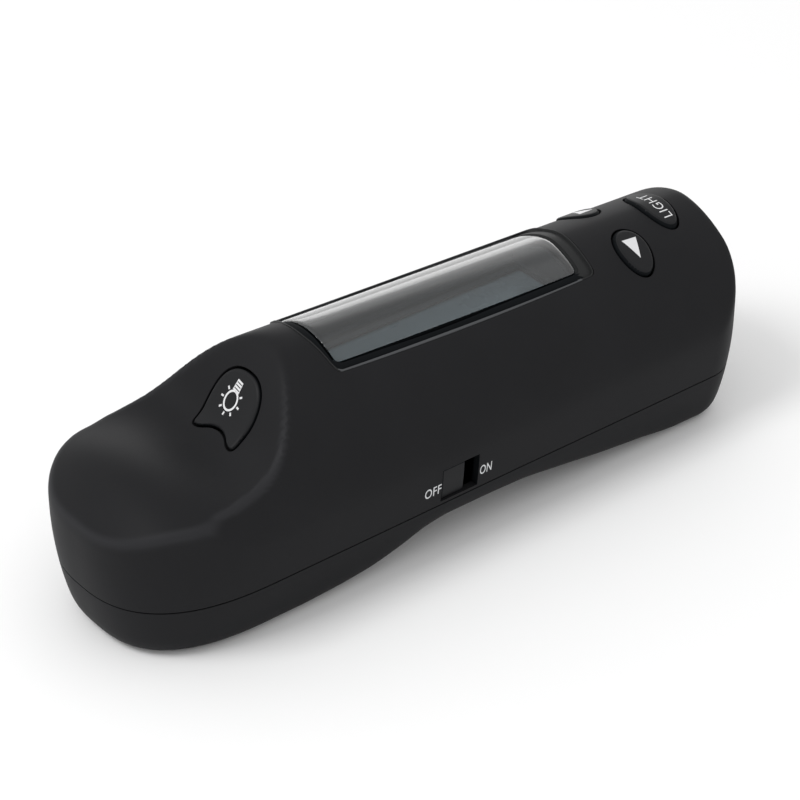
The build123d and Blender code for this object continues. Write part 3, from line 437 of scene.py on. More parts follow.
# ---------------------------------------------------------------------------
# Mesh helpers
# ---------------------------------------------------------------------------
def make(name, verts, faces, angle=32.0):
    me = bpy.data.meshes.new(name)
    me.from_pydata([tuple(float(c) * MM for c in v) for v in verts], [], faces)
    me.update()
    bm = bmesh.new()
    bm.from_mesh(me)
    bmesh.ops.remove_doubles(bm, verts=bm.verts, dist=1e-7)
    bmesh.ops.recalc_face_normals(bm, faces=bm.faces)
    bm.to_mesh(me)
    bm.free()
    o = bpy.data.objects.new(name, me)
    bpy.context.scene.collection.objects.link(o)
    smooth(o, angle)
    return o


def smooth(o, angle=32.0):
    me = o.data
    for p in me.polygons:
        p.use_smooth = True
    me.set_sharp_from_angle(angle=math.radians(angle))


def piece(o, body, mat, slot, *replaced):
    o.data.materials.clear()
    o.data.materials.append(mat)
    for p in o.data.polygons:
        p.material_index = 0
    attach(o, body)
    if replaced:
        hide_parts(*replaced)
    return o


def cut(o, cutters, op="DIFFERENCE"):
    """apply booleans, then remove the cutters"""
    for i, c in enumerate(cutters):
        md = o.modifiers.new("cut%d" % i, "BOOLEAN")
        md.operation = op
        md.solver = SOLVER
        md.object = c
    dg = bpy.context.evaluated_depsgraph_get()
    me = bpy.data.meshes.new_from_object(o.evaluated_get(dg))
    o.modifiers.clear()
    old = o.data
    o.data = me
    bpy.data.meshes.remove(old)
    for c in cutters:
        bpy.data.objects.remove(c)


SOLVER = "MANIFOLD"


def hull_mesh(name, P):
    """closed mesh from the +Y half rows of points, mirrored"""
    n, m = P.shape[:2]
    verts, index = [], {}
    V = np.concatenate([P.reshape(-1, 3), (P * [1, -1, 1]).reshape(-1, 3)])

    def i0(i, j, side):
        return side * n * m + i * m + j

    faces = []
    for side in (0, 1):
        for i in range(n - 1):
            for j in range(m - 1):
                q = [i0(i, j, side), i0(i + 1, j, side), i0(i + 1, j + 1, side), i0(i, j + 1, side)]
                faces.append(q if side == 0 else q[::-1])
    o = make(name, V, faces, 60)
    bm = bmesh.new()
    bm.from_mesh(o.data)
    bmesh.ops.remove_doubles(bm, verts=bm.verts, dist=2e-6)
    bmesh.ops.dissolve_degenerate(bm, edges=bm.edges, dist=1e-7)
    bmesh.ops.triangulate(bm, faces=[f for f in bm.faces if len(f.verts) > 3])
    loose = [e for e in bm.edges if not e.is_manifold]
    print(name, "verts", len(bm.verts), "open edges", len(loose))
    bmesh.ops.recalc_face_normals(bm, faces=bm.faces)
    bm.to_mesh(o.data)
    bm.free()
    return o


def prism(name, outline, origin, X, Y, N, lo, hi):
    """closed prism over a plane from a closed outline of local points"""
    o = np.array(origin, float)
    lo_ring = [o + p[0] * X + p[1] * Y + lo * N for p in outline]
    hi_ring = [o + p[0] * X + p[1] * Y + hi * N for p in outline]
    n = len(outline)
    faces = [list(range(n))[::-1], list(range(n, 2 * n))]
    faces += [[i, (i + 1) % n, n + (i + 1) % n, n + i] for i in range(n)]
    return make(name, lo_ring + hi_ring, faces)


def box(name, x0, x1, y0, y1, z0, z1):
    c = [(x, y, z) for x in (x0, x1) for y in (y0, y1) for z in (z0, z1)]
    return make(name, c, [[0, 1, 3, 2], [4, 6, 7, 5], [0, 4, 5, 1], [2, 3, 7, 6], [0, 2, 6, 4], [1, 5, 7, 3]])


def cyl(name, x, y, r, z0, z1, n=64):
    a = np.linspace(0, 2 * np.pi, n + 1)[:-1]
    return prism(name, [(r * np.cos(t), r * np.sin(t)) for t in a], (x, y, 0), np.array([1.0, 0, 0]), np.array([0, 1.0, 0]),
                 np.array([0, 0, 1.0]), z0, z1)


# ---------------------------------------------------------------------------
# Outlines
# ---------------------------------------------------------------------------
def rounded(corners, radii, arc=8):
    """closed polygon with rounded corners"""
    out, n = [], len(corners)
    for i in range(n):
        p, a, b = (np.array(corners[k], float) for k in (i, i - 1, (i + 1) % n))
        r = radii[i]
        if r <= 0:
            out.append(tuple(p))
            continue
        u, v = (a - p) / np.linalg.norm(a - p), (b - p) / np.linalg.norm(b - p)
        half = math.acos(max(-1, min(1, u @ v))) / 2
        d = r / math.tan(half)
        c = p + (u + v) / np.linalg.norm(u + v) * r / math.sin(half)
        s, e = p + u * d, p + v * d
        a0, a1 = math.atan2(*(s - c)[::-1]), math.atan2(*(e - c)[::-1])
        while a1 - a0 > math.pi:
            a1 -= 2 * math.pi
        while a1 - a0 < -math.pi:
            a1 += 2 * math.pi
        for t in np.linspace(a0, a1, arc):
            out.append((c[0] + r * math.cos(t), c[1] + r * math.sin(t)))
    return out


WIN = dict(x0=-35.0, x1=58.4, y=15.0, bow=2.8, bow1=0.6, r=2.0, swell=0.8)
LENS = dict(x0=-31.2, x1=53.2, y=12.6, bow=0.6, bow1=0.4, r=1.2, swell=0.2)


def window_outline(d, grow=0.0, step=1.0):
    x0, x1, y, bow, bow1 = d["x0"] - grow, d["x1"] + grow, d["y"] + grow, d["bow"], d["bow1"]
    ys = np.linspace(-1, 1, 9)[1:-1]
    front = [(x0 + bow * t * t, y * t) for t in ys]
    rear = [(x1 - bow1 * t * t, y * t) for t in ys[::-1]]
    c = [(x0 + bow, -y)] + front + [(x0 + bow, y), (x1 - bow1, y)] + rear + [(x1 - bow1, -y)]
    rad = [0.0] * len(c)
    for k in (0, 8, 9, 17):
        rad[k] = max(d["r"] + grow * 0.5, 0.3)
    # thin the bow points so that the corner radius fits
    keep = [i for i in range(len(c)) if i in (0, 8, 9, 17) or 3 <= i <= 5 or 12 <= i <= 14]
    p = resample(rounded([c[i] for i in keep], [rad[i] for i in keep], 10), 220)
    half, mid = (x1 - x0) / 2, (x0 + x1) / 2
    swell = 1 + d["swell"] / y * np.clip(1 - ((p[:, 0] - mid) / half) ** 2, 0, 1)
    return [(float(a), float(b)) for a, b in zip(p[:, 0], p[:, 1] * swell)]


def resample(outline, n):
    p = np.array(outline + [outline[0]])
    s = np.r_[0, np.cumsum(np.linalg.norm(np.diff(p, axis=0), axis=1))]
    t = np.linspace(0, s[-1], n + 1)[:-1]
    return np.stack([np.interp(t, s, p[:, 0]), np.interp(t, s, p[:, 1])], 1)


def closed_spline(pts, n):
    """smooth closed curve through points, chord-length cubic"""
    p = np.array(pts, float)
    k = len(p)
    P = np.concatenate([p, p, p, p[:1]])
    s = np.r_[0, np.cumsum(np.linalg.norm(np.diff(P, axis=0), axis=1))]
    total = s[k]
    t = np.linspace(s[k], s[2 * k], n + 1)[:-1]
    return np.stack([natspline(s, P[:, 0], t), natspline(s, P[:, 1], t)], 1)


def oval(a, b, taper=0.0, grow=0.0, n=96):
    th = np.linspace(0, 2 * np.pi, n + 1)[:-1]
    return np.stack([(a + grow) * np.cos(th) * (1 + taper * np.sin(th)), (b + grow) * np.sin(th)], 1)


CRES = [(10.7, 0), (9.8, 4.5), (7.2, 7.4), (3.0, 8.9), (-1.8, 9.1), (-5.8, 8.7), (-8.3, 8.1), (-8.3, 7.0), (-6.7, 3.6), (-5.9, 0)]


def crescent(grow=0.0, n=160):
    c = np.array(CRES + [(x, -y) for x, y in CRES[-2:0:-1]])
    t = np.roll(c, -1, 0) - np.roll(c, 1, 0)
    nn = np.stack([-t[:, 1], t[:, 0]], 1) / np.linalg.norm(t, axis=1)[:, None]
    return closed_spline(c - nn * grow, n)


def th(x, y):
    return top_height(np.asarray(x, float) + L / 2, y)


def frame_at(x, y):
    e = 0.05
    zx = float(th(x + e, y) - th(x - e, y)) / (2 * e)
    zy = float(th(x, y + e) - th(x, y - e)) / (2 * e)
    N = np.array([-zx, -zy, 1.0])
    N /= np.linalg.norm(N)
    X = np.array([N[2], 0, -N[0]])
    X /= np.linalg.norm(X)
    return np.array([x, y, float(th(x, y))]), X, np.cross(N, X), N


MN = np.array([-0.763, 0, 0.647]) / np.linalg.norm([0.763, 0.647])
MX = np.array([MN[2], 0, -MN[0]])
KEYS = {
    "measure": dict(f=(np.array([-55.1, 0, float(th(-55.1, 0.0))]), MX, np.cross(MN, MX), MN), out=crescent),
    "left": dict(f=frame_at(73.7, -13.2), out=lambda g=0.0, n=96: oval(5.2, 7.6, 0.10, g, n)),
    "right": dict(f=frame_at(73.4, 10.7), out=lambda g=0.0, n=96: oval(5.2, 7.6, -0.10, g, n)),
    "light": dict(f=frame_at(91.2, -1.5), out=lambda g=0.0, n=96: oval(4.8, 9.7, 0.0, g, n)),
}


def rise(f, lx, ly):
    """height of the body's surface over a plane at local points"""
    o, X, Y, N = f
    lo, hi = np.full(np.shape(lx), -12.0), np.full(np.shape(lx), 10.0)
    for _ in range(26):
        m = (lo + hi) / 2
        q = o + lx[..., None] * X + ly[..., None] * Y + m[..., None] * N
        below = q[..., 2] < th(q[..., 0], q[..., 1])
        lo, hi = np.where(below, m, lo), np.where(below, hi, m)
    return (lo + hi) / 2


# ---------------------------------------------------------------------------
# Housing shells
# ---------------------------------------------------------------------------
FINE = sections(118, 60, 120, 26, 8)
FN = normals(FINE)


def at_depth(d, step=1):
    P = FINE - FN * d
    P[0, :, 1] = P[-1, :, 1] = 0
    P[:, 0, 1] = P[:, -1, 1] = 0
    P[..., 1] = np.maximum(P[..., 1], 0)
    if step > 1:
        i = sorted(set(list(range(0, P.shape[0], step)) + [P.shape[0] - 1]))
        j = sorted(set(list(range(0, P.shape[1], step)) + [P.shape[1] - 1]))
        P = P[np.ix_(i, j)]
    return P


DOOR = dict(x0=-5.0, x1=96.0, y=14.6, r=3.0)
POSTS = [(-90.0, 14.0), (-24.0, 22.6), (91.0, 21.6)]
PORT_X = -73.0
SW = dict(x0=-9.9, x1=2.5, z0=17.8, z1=27.8, travel=4.2)
XY = (np.array([1.0, 0, 0]), np.array([0, 1.0, 0]), np.array([0, 0, 1.0]))

upper = hull_mesh("upper_shell_skin", at_depth(0))
win_o = window_outline(WIN)
cut(upper, [hull_mesh("c_in", at_depth(2.2, 2)), box("c_low", -200, 200, -100, 100, -50, Z_PART + 0.2),
            prism("c_win", win_o, (0, 0, 0), *XY, 40, 80)]
    + [prism("c_" + k, [tuple(p) for p in d["out"](0.62)], d["f"][0], d["f"][1], d["f"][2], d["f"][3], -8, 6) for k, d in KEYS.items()]
    + [box("c_slot", SW["x0"] - 0.3, SW["x1"], -40, -24, SW["z0"], SW["z1"] + 0.3)])
smooth(upper, 30)
piece(upper, "housing", SHELL, "black_shell", "upper_shell")
# painted highlight along the soft convex edges of the nose (the lip and the scoop ridge): curvature across the body,
# taken from the form itself, lightens the shell colour there
dn, dq = np.gradient(FN, axis=1), np.gradient(FINE, axis=1)
bend = (dn * dq).sum(-1) / ((dq ** 2).sum(-1) + 1e-6)
bend = np.clip((bend - 0.07) / 0.17, 0, 1)
bend = bend * bend * (3 - 2 * bend)
tree = KDTree(bend.size)
for i, q in enumerate(FINE.reshape(-1, 3)):
    tree.insert(Vector(q), i)
tree.balance()
flat_bend = bend.reshape(-1)
vals = []
for v in upper.data.vertices:
    q = v.co / MM
    near = tree.find_n(Vector((q[0], abs(q[1]), q[2])), 4)
    w = [1 / (d + 0.05) for _, _, d in near]
    fade = min(max((q[2] - Z_PART - 6.0) / 8.0, 0), 1) * min(max((-35.0 - q[0]) / 12.0, 0), 1)
    vals.append(fade * sum(a * flat_bend[i] for a, (_, i, _) in zip(w, near)) / sum(w))
at = upper.data.attributes.new("painted_highlight", "FLOAT", "POINT")
at.data.foreach_set("value", vals)
# painted shade: the switch slot's inner walls, apart from the upward-facing floor, get the near-black shade material
upper.data.materials.append(PAINTED_SHADE)
for poly in upper.data.polygons:
    c = np.array(poly.center) / MM
    if SW["x0"] - 0.4 < c[0] < SW["x1"] + 0.1 and c[1] < -20 and SW["z0"] - 0.1 < c[2] < SW["z1"] + 0.4 and abs(poly.normal[1]) < 0.5 and poly.normal[2] < 0.5:
        poly.material_index = 1

lower = hull_mesh("lower_shell_skin", at_depth(0))
holes = [hull_mesh("c_in2", at_depth(2.6, 2)), box("c_up", -200, 200, -100, 100, Z_PART - 0.2, 120), box("c_floor", -200, 200, -100, 100, -20, 0)]
door_o = rounded([(DOOR["x0"], -DOOR["y"]), (DOOR["x1"], -DOOR["y"]), (DOOR["x1"], DOOR["y"]), (DOOR["x0"], DOOR["y"])], [DOOR["r"]] * 4)
holes.append(prism("c_door", door_o, (0, 0, 0), *XY, -5, 19))
holes += [cyl("c_p1", PORT_X, 0, 17.15, -1, 1.25, 96), cyl("c_p2", PORT_X, 0, 12.15, -1, 8, 96)]
holes += [cyl("c_h%d%d" % (i, s), px, s * py, 2.8, -1, Z_PART - 4.5, 40) for i, (px, py) in enumerate(POSTS) for s in (-1, 1)]
holes += [cyl("c_f%d" % s, 81.0, s * 19.0, 3.3, -1, 0.9, 48) for s in (-1, 1)]
cut(lower, holes)
# lip inside the parting line, and the screw bosses seen through their holes
lip = hull_mesh("lip_ring", at_depth(2.35, 2))
cut(lip, [hull_mesh("c_l1", at_depth(3.5, 2)), box("c_l2", -200, 200, -100, 100, -50, Z_PART - 2.6),
          box("c_l3", -200, 200, -100, 100, Z_PART + 1.8, 120), box("c_l4", SW["x0"] - 4, SW["x1"] + 4, -40, -20, Z_PART - 0.1, 40)])
smooth(lip, 30)
piece(lip, "housing", SHELL, "black_shell", "lower_shell")
smooth(lower, 30)
piece(lower, "housing", SHELL, "black_shell", "lower_shell")

for i, (px, py) in enumerate(POSTS):
    for s in (-1, 1):
        t = cyl("boss_%d_%s" % (i, "n" if s < 0 else "f"), px, s * py, 3.5, (3.2 if i != 1 else 10.2), Z_PART - 0.3, 40)
        cut(t, [cyl("c_b", px, s * py, 2.8, -1, Z_PART - 4.5, 40), cyl("c_b2", px, s * py, 1.6, -1, Z_PART + 3, 32)])
        smooth(t, 30)
        piece(t, "housing", SHELL, "black_shell")

door = hull_mesh("battery_door_skin", at_depth(0))
din = rounded([(DOOR["x0"] + 0.3, -DOOR["y"] + 0.3), (DOOR["x1"] - 0.3, -DOOR["y"] + 0.3), (DOOR["x1"] - 0.3, DOOR["y"] - 0.3),
               (DOOR["x0"] + 0.3, DOOR["y"] - 0.3)], [DOOR["r"] - 0.3] * 4)
cut(door, [prism("c_d", din, (0, 0, 0), *XY, -5, 19)], "INTERSECT")
cut(door, [hull_mesh("c_d2", at_depth(2.4, 2)), box("c_d3", -200, 200, -100, 100, -20, 0)]
    + [box("c_rib%d" % i, 70.0 + 2.6 * i, 71.1 + 2.6 * i, -6.0 + 0.5 * i, 6.0 - 0.5 * i, -5, 2.3) for i in range(5)])
smooth(door, 30)
piece(door, "battery_door", SHELL, "black_shell", "battery_door")

# ---------------------------------------------------------------------------
# Keys
# ---------------------------------------------------------------------------
SURF = {}


def key_mesh(name, k):
    f = k["f"]
    o, X, Y, N = f
    out = k["out"](0.0, 160)
    c = np.array([1.0, 0.0]) if name == "measure" else np.zeros(2)
    R = np.linalg.norm(out - c, axis=1)
    rings = []
    dist = np.r_[0.0, 0.05, 0.15, 0.3, 0.5, 0.75, 1.0, 1.25]
    proud = {"measure": 0.62, "right": 0.6}.get(name, 0.9)
    frac = [d for d in dist]
    levels = [("d", d) for d in dist] + [("t", t) for t in np.linspace(0.8, 0.06, 12)]
    for kind, v in levels:
        if kind == "d":
            t = 1 - v / R
        else:
            t = np.minimum(v, 1 - 1.25 / R) * np.ones_like(R)
        P = c + (out - c) * t[:, None]
        d = (1 - t) * R
        e = np.clip(d / 1.15, 0, 1)
        roundness = np.sqrt(np.clip(1 - (1 - e) ** 2, 0, 1))
        dish = 0.0
        h = rise(f, P[:, 0], P[:, 1]) + (proud + 0.35) * roundness - 0.35
        rings.append(o + P[:, :1] * X + P[:, 1:] * Y + h[:, None] * N)
    base = [o + out[:, :1] * X + out[:, 1:] * Y - 5.0 * N]
    allr = base + rings
    n = len(out)
    verts = np.concatenate(allr)
    ctr = c[None, :]
    hc = rise(f, ctr[:, 0], ctr[:, 1]) + proud
    verts = np.concatenate([verts, [o + c[0] * X + c[1] * Y + hc[0] * N], [o + c[0] * X + c[1] * Y - 5.0 * N]])
    faces = []
    for r in range(len(allr) - 1):
        for i in range(n):
            j = (i + 1) % n
            faces.append([r * n + i, r * n + j, (r + 1) * n + j, (r + 1) * n + i])
    last = (len(allr) - 1) * n
    top, bot = len(verts) - 2, len(verts) - 1
    faces += [[last + i, last + (i + 1) % n, top] for i in range(n)]
    faces += [[(i + 1) % n, i, bot] for i in range(n)]
    ob = make(name + "_key_cap", verts, faces, 50)
    # flange under the shell, as on the solid model
    fl = k["out"](1.2, 96) if name != "light" else oval(6.0, 8.0, n=96)
    fo = prism(name + "_key_flange", [tuple(p) for p in fl], o, X, Y, N, -5.9, -5.0)
    piece(fo, name + "_key", KEY, "key_plastic", name + "_key")
    SURF[name] = BVHTree.FromObject(ob, bpy.context.evaluated_depsgraph_get())
    piece(ob, name + "_key", KEY, "key_plastic", name + "_key")
    # painted shade: the cap's flank, down in the gap and up to its rounded edge, gets the near-black shade material
    # where its shadow would be
    ob.data.materials.append(PAINTED_SHADE)
    skirt = np.array(k["out"](-0.42 if name != "measure" else -0.15, 200))
    for poly in ob.data.polygons:
        q = np.array(poly.center) / MM - o
        a, b = q @ X, q @ Y
        i = int(np.argmin((skirt[:, 0] - a) ** 2 + (skirt[:, 1] - b) ** 2))
        if (a - c[0]) ** 2 + (b - c[1]) ** 2 > ((skirt[i] - c) ** 2).sum():
            poly.material_index = 1
    return ob


for kn, kd in KEYS.items():
    key_mesh(kn, kd)

# ---------------------------------------------------------------------------
# Display window and its trim
# ---------------------------------------------------------------------------
NO = 360


def matched(dist_outer=None):
    """the window opening and the lens edge, point for point"""
    a = resample(window_outline(WIN), NO)
    b0 = np.array(window_outline(LENS))
    bb = np.concatenate([b0, b0[:1]])
    out = []
    cen = np.array([11.0, 0.0])
    sx, sy = (LENS["x1"] - LENS["x0"]) / (WIN["x1"] - WIN["x0"]), LENS["y"] / WIN["y"]
    for p in a:
        q = np.array([LENS["x0"] + (p[0] - WIN["x0"]) * sx, p[1] * sy])
        s0, s1 = bb[:-1], bb[1:]
        d = s1 - s0
        t = np.clip(((q - s0) * d).sum(1) / ((d * d).sum(1) + 1e-12), 0, 1)
        pr = s0 + d * t[:, None]
        out.append(pr[np.argmin(np.linalg.norm(pr - q, axis=1))])
    return a, np.array(out)


WA, WB = matched()
WD = np.linalg.norm(WA - WB, axis=1)


def surf_pt(p, depth):
    """point under the upper surface at plan position p, measured along the normal, roughly"""
    e = 0.1
    depth = depth + np.zeros(len(p))
    z = th(p[:, 0], p[:, 1])
    zx = (th(p[:, 0] + e, p[:, 1]) - th(p[:, 0] - e, p[:, 1])) / (2 * e)
    zy = (th(p[:, 0], p[:, 1] + e) - th(p[:, 0], p[:, 1] - e)) / (2 * e)
    n3 = np.stack([-zx, -zy, np.ones_like(zx)], 1)
    n3 /= np.linalg.norm(n3, axis=1)[:, None]
    return np.stack([p[:, 0], p[:, 1], z - np.minimum(depth / n3[:, 2], depth * 1.6)], 1)


prof = []   # (fraction, depth)
rows = []
ea = WA + (WB - WA) * (0.12 / WD)[:, None]
rows.append(surf_pt(ea, 3.0))
rows.append(surf_pt(ea, 0.30))
for dd, dp in ((0.16, 0.05), (0.28, -0.08), (0.55, -0.09), (0.66, 0.02), (0.74, 0.5)):
    rows.append(surf_pt(WA + (WB - WA) * (dd / WD)[:, None], dp - 0.26 * np.clip((WA[:, 1] - 7.0) / 4.0, 0, 1)))
rest = WD - 0.74 - 0.75
rest = np.clip(rest, 0.05, None)
BAND = np.clip((rest - 0.5) / 1.5, 0, 1)
for fr_, dp in ((0.08, 0.55), (0.25, 0.42), (0.75, 0.30), (0.95, 0.34), (1.0, 0.9)):
    w = 0.74 + rest * fr_
    dp = 0.95 * (1 - BAND) + dp * BAND
    rows.append(surf_pt(WA + (WB - WA) * (w / WD)[:, None], dp))
eb = WA + (WB - WA) * ((WD - 0.05) / WD)[:, None]
rows.append(surf_pt(eb, 1.5))
rows.append(surf_pt(eb, 3.0))
tv = np.concatenate(rows)
tf = []
for r in range(len(rows)):
    r2 = (r + 1) % len(rows)
    for i in range(NO):
        j = (i + 1) % NO
        tf.append([r * NO + i, r * NO + j, r2 * NO + j, r2 * NO + i])
trim = make("window_trim_ring", tv, tf, 40)
piece(trim, "housing", TRIM, "trim_plastic", "window_trim")
trim.data.materials.append(PAINTED_SHADE)
trim.data.materials.append(BAND_M)
trim.data.materials.append(FAR_LIT_M)
# the outer 0.69 mm rim on the near side keeps the lighter trim colour, partly a painted highlight on its bevel
wa2 = np.concatenate([WA, WA[:1]])
for poly in trim.data.polygons:
    c = np.array(poly.center) / MM
    d = wa2[1:] - wa2[:-1]
    t = np.clip(((c[:2] - wa2[:-1]) * d).sum(1) / ((d * d).sum(1) + 1e-12), 0, 1)
    away = np.linalg.norm(wa2[:-1] + d * t[:, None] - c[:2], axis=1).min()
    # the far side (y > 8) gets the lighter painted-light copy of the trim colour; the front and rear ends get the dark
    # band colour
    if c[1] > 8.0 or c[0] > LENS["x1"] - 0.5 or (away <= 0.69 and c[0] < LENS["x0"]):
        poly.material_index = 3 if c[1] > 8.0 and LENS["x0"] < c[0] < LENS["x1"] - 0.5 else 2
    # painted shade: the channel and inner walls beyond the near rim get the near-black shade material
    elif away > 0.69:
        poly.material_index = 1

# lens: closed sheet following the crown of the housing
LENS_TOP = 0.35
lo_out = resample(window_outline(LENS, -0.12), 240)
cen = np.array([11.0, 0.0])
LT = [1.0, 0.992, 0.97] + list(np.linspace(0.92, 0.04, 14))
tops, bots = [], []
for t in LT:
    p = np.stack([cen[0] + (lo_out[:, 0] - cen[0]) * t, lo_out[:, 1] * t], 1)
    edge_drop = 0.3 if t == 1.0 else (0.07 if t > 0.99 else 0.0)
    tops.append(surf_pt(p, LENS_TOP + edge_drop))
bots = [surf_pt(np.stack([cen[0] + (lo_out[:, 0] - cen[0]) * t, lo_out[:, 1] * t], 1), 2.0) for t in LT]
n = len(lo_out)
rows = tops[::-1] + bots
lv = np.concatenate(rows)
lf = []
for r in range(len(rows) - 1):
    for i in range(n):
        j = (i + 1) % n
        lf.append([r * n + i, r * n + j, (r + 1) * n + j, (r + 1) * n + i])
lv = np.concatenate([lv, [[11.0, 0, float(th(11, 0)) - LENS_TOP]], [[11.0, 0, float(th(11, 0)) - 2.0]]])
lf += [[(i + 1) % n, i, len(lv) - 2] for i in range(n)]
lastr = (len(rows) - 1) * n
lf += [[lastr + i, lastr + (i + 1) % n, len(lv) - 1] for i in range(n)]
lens = make("window_lens_sheet", lv, lf, 40)
piece(lens, "housing", LENS_M, "window_lens", "display_window")
# painted shade: the lens's outer edge wall gets the near-black shade material
lens.data.materials.append(PAINTED_SHADE)
rim_o = np.array(window_outline(LENS, -0.12))
rim_b = np.concatenate([rim_o, rim_o[:1]])
for poly in lens.data.polygons:
    c = np.array(poly.center) / MM
    d = rim_b[1:] - rim_b[:-1]
    t = np.clip(((c[:2] - rim_b[:-1]) * d).sum(1) / ((d * d).sum(1) + 1e-12), 0, 1)
    if np.linalg.norm(rim_b[:-1] + d * t[:, None] - c[:2], axis=1).min() < 0.02:
        poly.material_index = 1

# printed border on the far side of the display
mask = box("display_border", -20.5, 50.5, 8.7, 10.8, 49.0, 49.7)
piece(mask, "housing", SHROUD_M, "inner_black")

# ---------------------------------------------------------------------------
# Printed marks, laid on the surfaces
# ---------------------------------------------------------------------------
dg = bpy.context.evaluated_depsgraph_get()
UP_TREE = BVHTree.FromObject(upper, dg)


def flat_text(text, size, space=1.0, thin=0.0):
    cu = bpy.data.curves.new("t_" + text, "FONT")
    cu.body = text
    cu.size = size
    cu.align_x, cu.align_y = "CENTER", "CENTER"
    cu.space_character = space
    cu.resolution_u = 4
    cu.offset = thin
    ob = bpy.data.objects.new("t_" + text, cu)
    bpy.context.scene.collection.objects.link(ob)
    me = bpy.data.meshes.new_from_object(ob.evaluated_get(bpy.context.evaluated_depsgraph_get()))
    bpy.data.objects.remove(ob)
    return me


def flat_poly(polys):
    me = bpy.data.meshes.new("poly")
    v, f = [], []
    for p in polys:
        f.append(list(range(len(v), len(v) + len(p))))
        v += [(x, y, 0) for x, y in p]
    me.from_pydata(v, [], f)
    return me


def decal(name, me, tree, f, place, body, slot, mat, lift=0.03, scale=(1, 1), rot=0.0, maxedge=0.5):
    """lay a flat drawing on a surface: local drawing axes, then straight down the plane's normal"""
    o, X, Y, N = f
    bm = bmesh.new()
    bm.from_mesh(me)
    bmesh.ops.triangulate(bm, faces=bm.faces)
    for _ in range(5):
        long = [e for e in bm.edges if e.calc_length() > maxedge]
        if not long:
            break
        bmesh.ops.subdivide_edges(bm, edges=long, cuts=1)
        bmesh.ops.triangulate(bm, faces=[q for q in bm.faces if len(q.verts) > 3])
    ca, sa = math.cos(rot), math.sin(rot)
    missed = 0
    for v in bm.verts:
        a, b = v.co.x * scale[0], v.co.y * scale[1]
        a, b = a * ca - b * sa + place[0], a * sa + b * ca + place[1]
        q = o + a * X + b * Y
        start = Vector((q + 15 * N) * MM)
        hit = tree.ray_cast(start, Vector(-N))
        if hit[0] is None:
            missed += 1
            v.co = Vector(q * MM)
            continue
        v.co = hit[0] + Vector(N) * lift * MM
    me2 = bpy.data.meshes.new(name)
    bm.to_mesh(me2)
    bm.free()
    ob = bpy.data.objects.new(name, me2)
    bpy.context.scene.collection.objects.link(ob)
    sol = None
    for p in me2.polygons:
        p.use_smooth = True
    piece(ob, body, mat, slot)
    if missed:
        print("decal", name, "missed", missed)
    return ob


def stroke(pts, w, closed=False):
    """quads along a line, with square ends"""
    p = np.array(pts, float)
    if closed:
        p = np.concatenate([p, p[:1]])
    out = []
    for a, b in zip(p[:-1], p[1:]):
        d = (b - a) / (np.linalg.norm(b - a) + 1e-12)
        q = np.array([-d[1], d[0]]) * w / 2
        out.append([tuple(a + q), tuple(a - q), tuple(b - q), tuple(b + q)])
    return out


def ring(cx, cy, ra, rb, w, a0=0.0, a1=360.0, n=40):
    t = np.radians(np.linspace(a0, a1, n + 1))
    out = []
    for i in range(n):
        q = []
        for tt, s in ((t[i], 1), (t[i], -1), (t[i + 1], -1), (t[i + 1], 1)):
            q.append((cx + (ra + s * w / 2) * math.cos(tt), cy + (rb + s * w / 2) * math.sin(tt)))
        out.append(q)
    return out


# arrow keys: solid triangles
for kn, sy in (("left", -1), ("right", 1)):
    f = KEYS[kn]["f"]
    # plan corners of the triangle, tip outwards
    tri = [(71.4, -9.7), (76.5, -9.9), (73.6, -15.4)]
    o, X, Y, N = f
    loc = []
    for x, y in tri:
        y = y if sy < 0 else -y - 2.8
        q = np.array([x, y, float(th(x, y))]) - o
        loc.append((float(q @ X), float(q @ Y)))
    if sy > 0:
        loc = loc[::-1]
    decal(kn + "_arrow_print", flat_poly([loc]), SURF[kn], f, (0, 0), kn + "_key", "white_plastic", PRINT_KEY, maxedge=0.9)

# light key lettering, read from behind the heel
decal("light_print", flat_text("LIGHT", 4.7, 1.04, -0.035), SURF["light"], KEYS["light"]["f"], (0.5, -0.8), "light_key", "white_plastic", PRINT_KEY,
      rot=math.radians(90), scale=(0.93, 0.98))

# measure key pictogram: a lamp with rays, screw base to the rear
lamp = []
lamp += ring(-2.7, 0, 2.65, 2.25, 0.58, 0, 360, 60)
for i in range(4):
    x = 0.25 + i * 0.85
    half = 1.35 - 0.06 * i
    lamp += stroke([(x - 0.1, -half), (x + 0.1, half)], 0.56)
lamp += stroke([(0.2, 1.25), (2.8, 1.05)], 0.22) + stroke([(0.2, -1.25), (2.8, -1.05)], 0.22)
for a in (52, 95, 138, 180, 222, 265, 308):
    c, s_ = math.cos(math.radians(a)), math.sin(math.radians(a))
    lamp += stroke([(-2.7 + 3.35 * c, 3.0 * s_), (-2.7 + 4.3 * c, 3.95 * s_)], 0.55)
decal("lamp_print", flat_poly(lamp), SURF["measure"], KEYS["measure"]["f"], (4.6, 0.9), "measure_key", "white_plastic", PRINT_KEY, rot=math.radians(-5))

# switch lettering on the side of the housing
SIDE = (np.array([0.0, -31.0, 0.0]), np.array([1.0, 0, 0]), np.array([0, 0, 1.0]), np.array([0, -1.0, 0]))
decal("off_print", flat_text("OFF", 4.25, 1.05, 0.02), UP_TREE, SIDE, (-13.2, 22.4), "housing", "white_plastic", PRINT, scale=(0.755, 1.0))
decal("on_print", flat_text("ON", 4.3, 1.08, 0.02), UP_TREE, SIDE, (5.1, 22.2), "housing", "white_plastic", PRINT, scale=(0.62, 1.0))

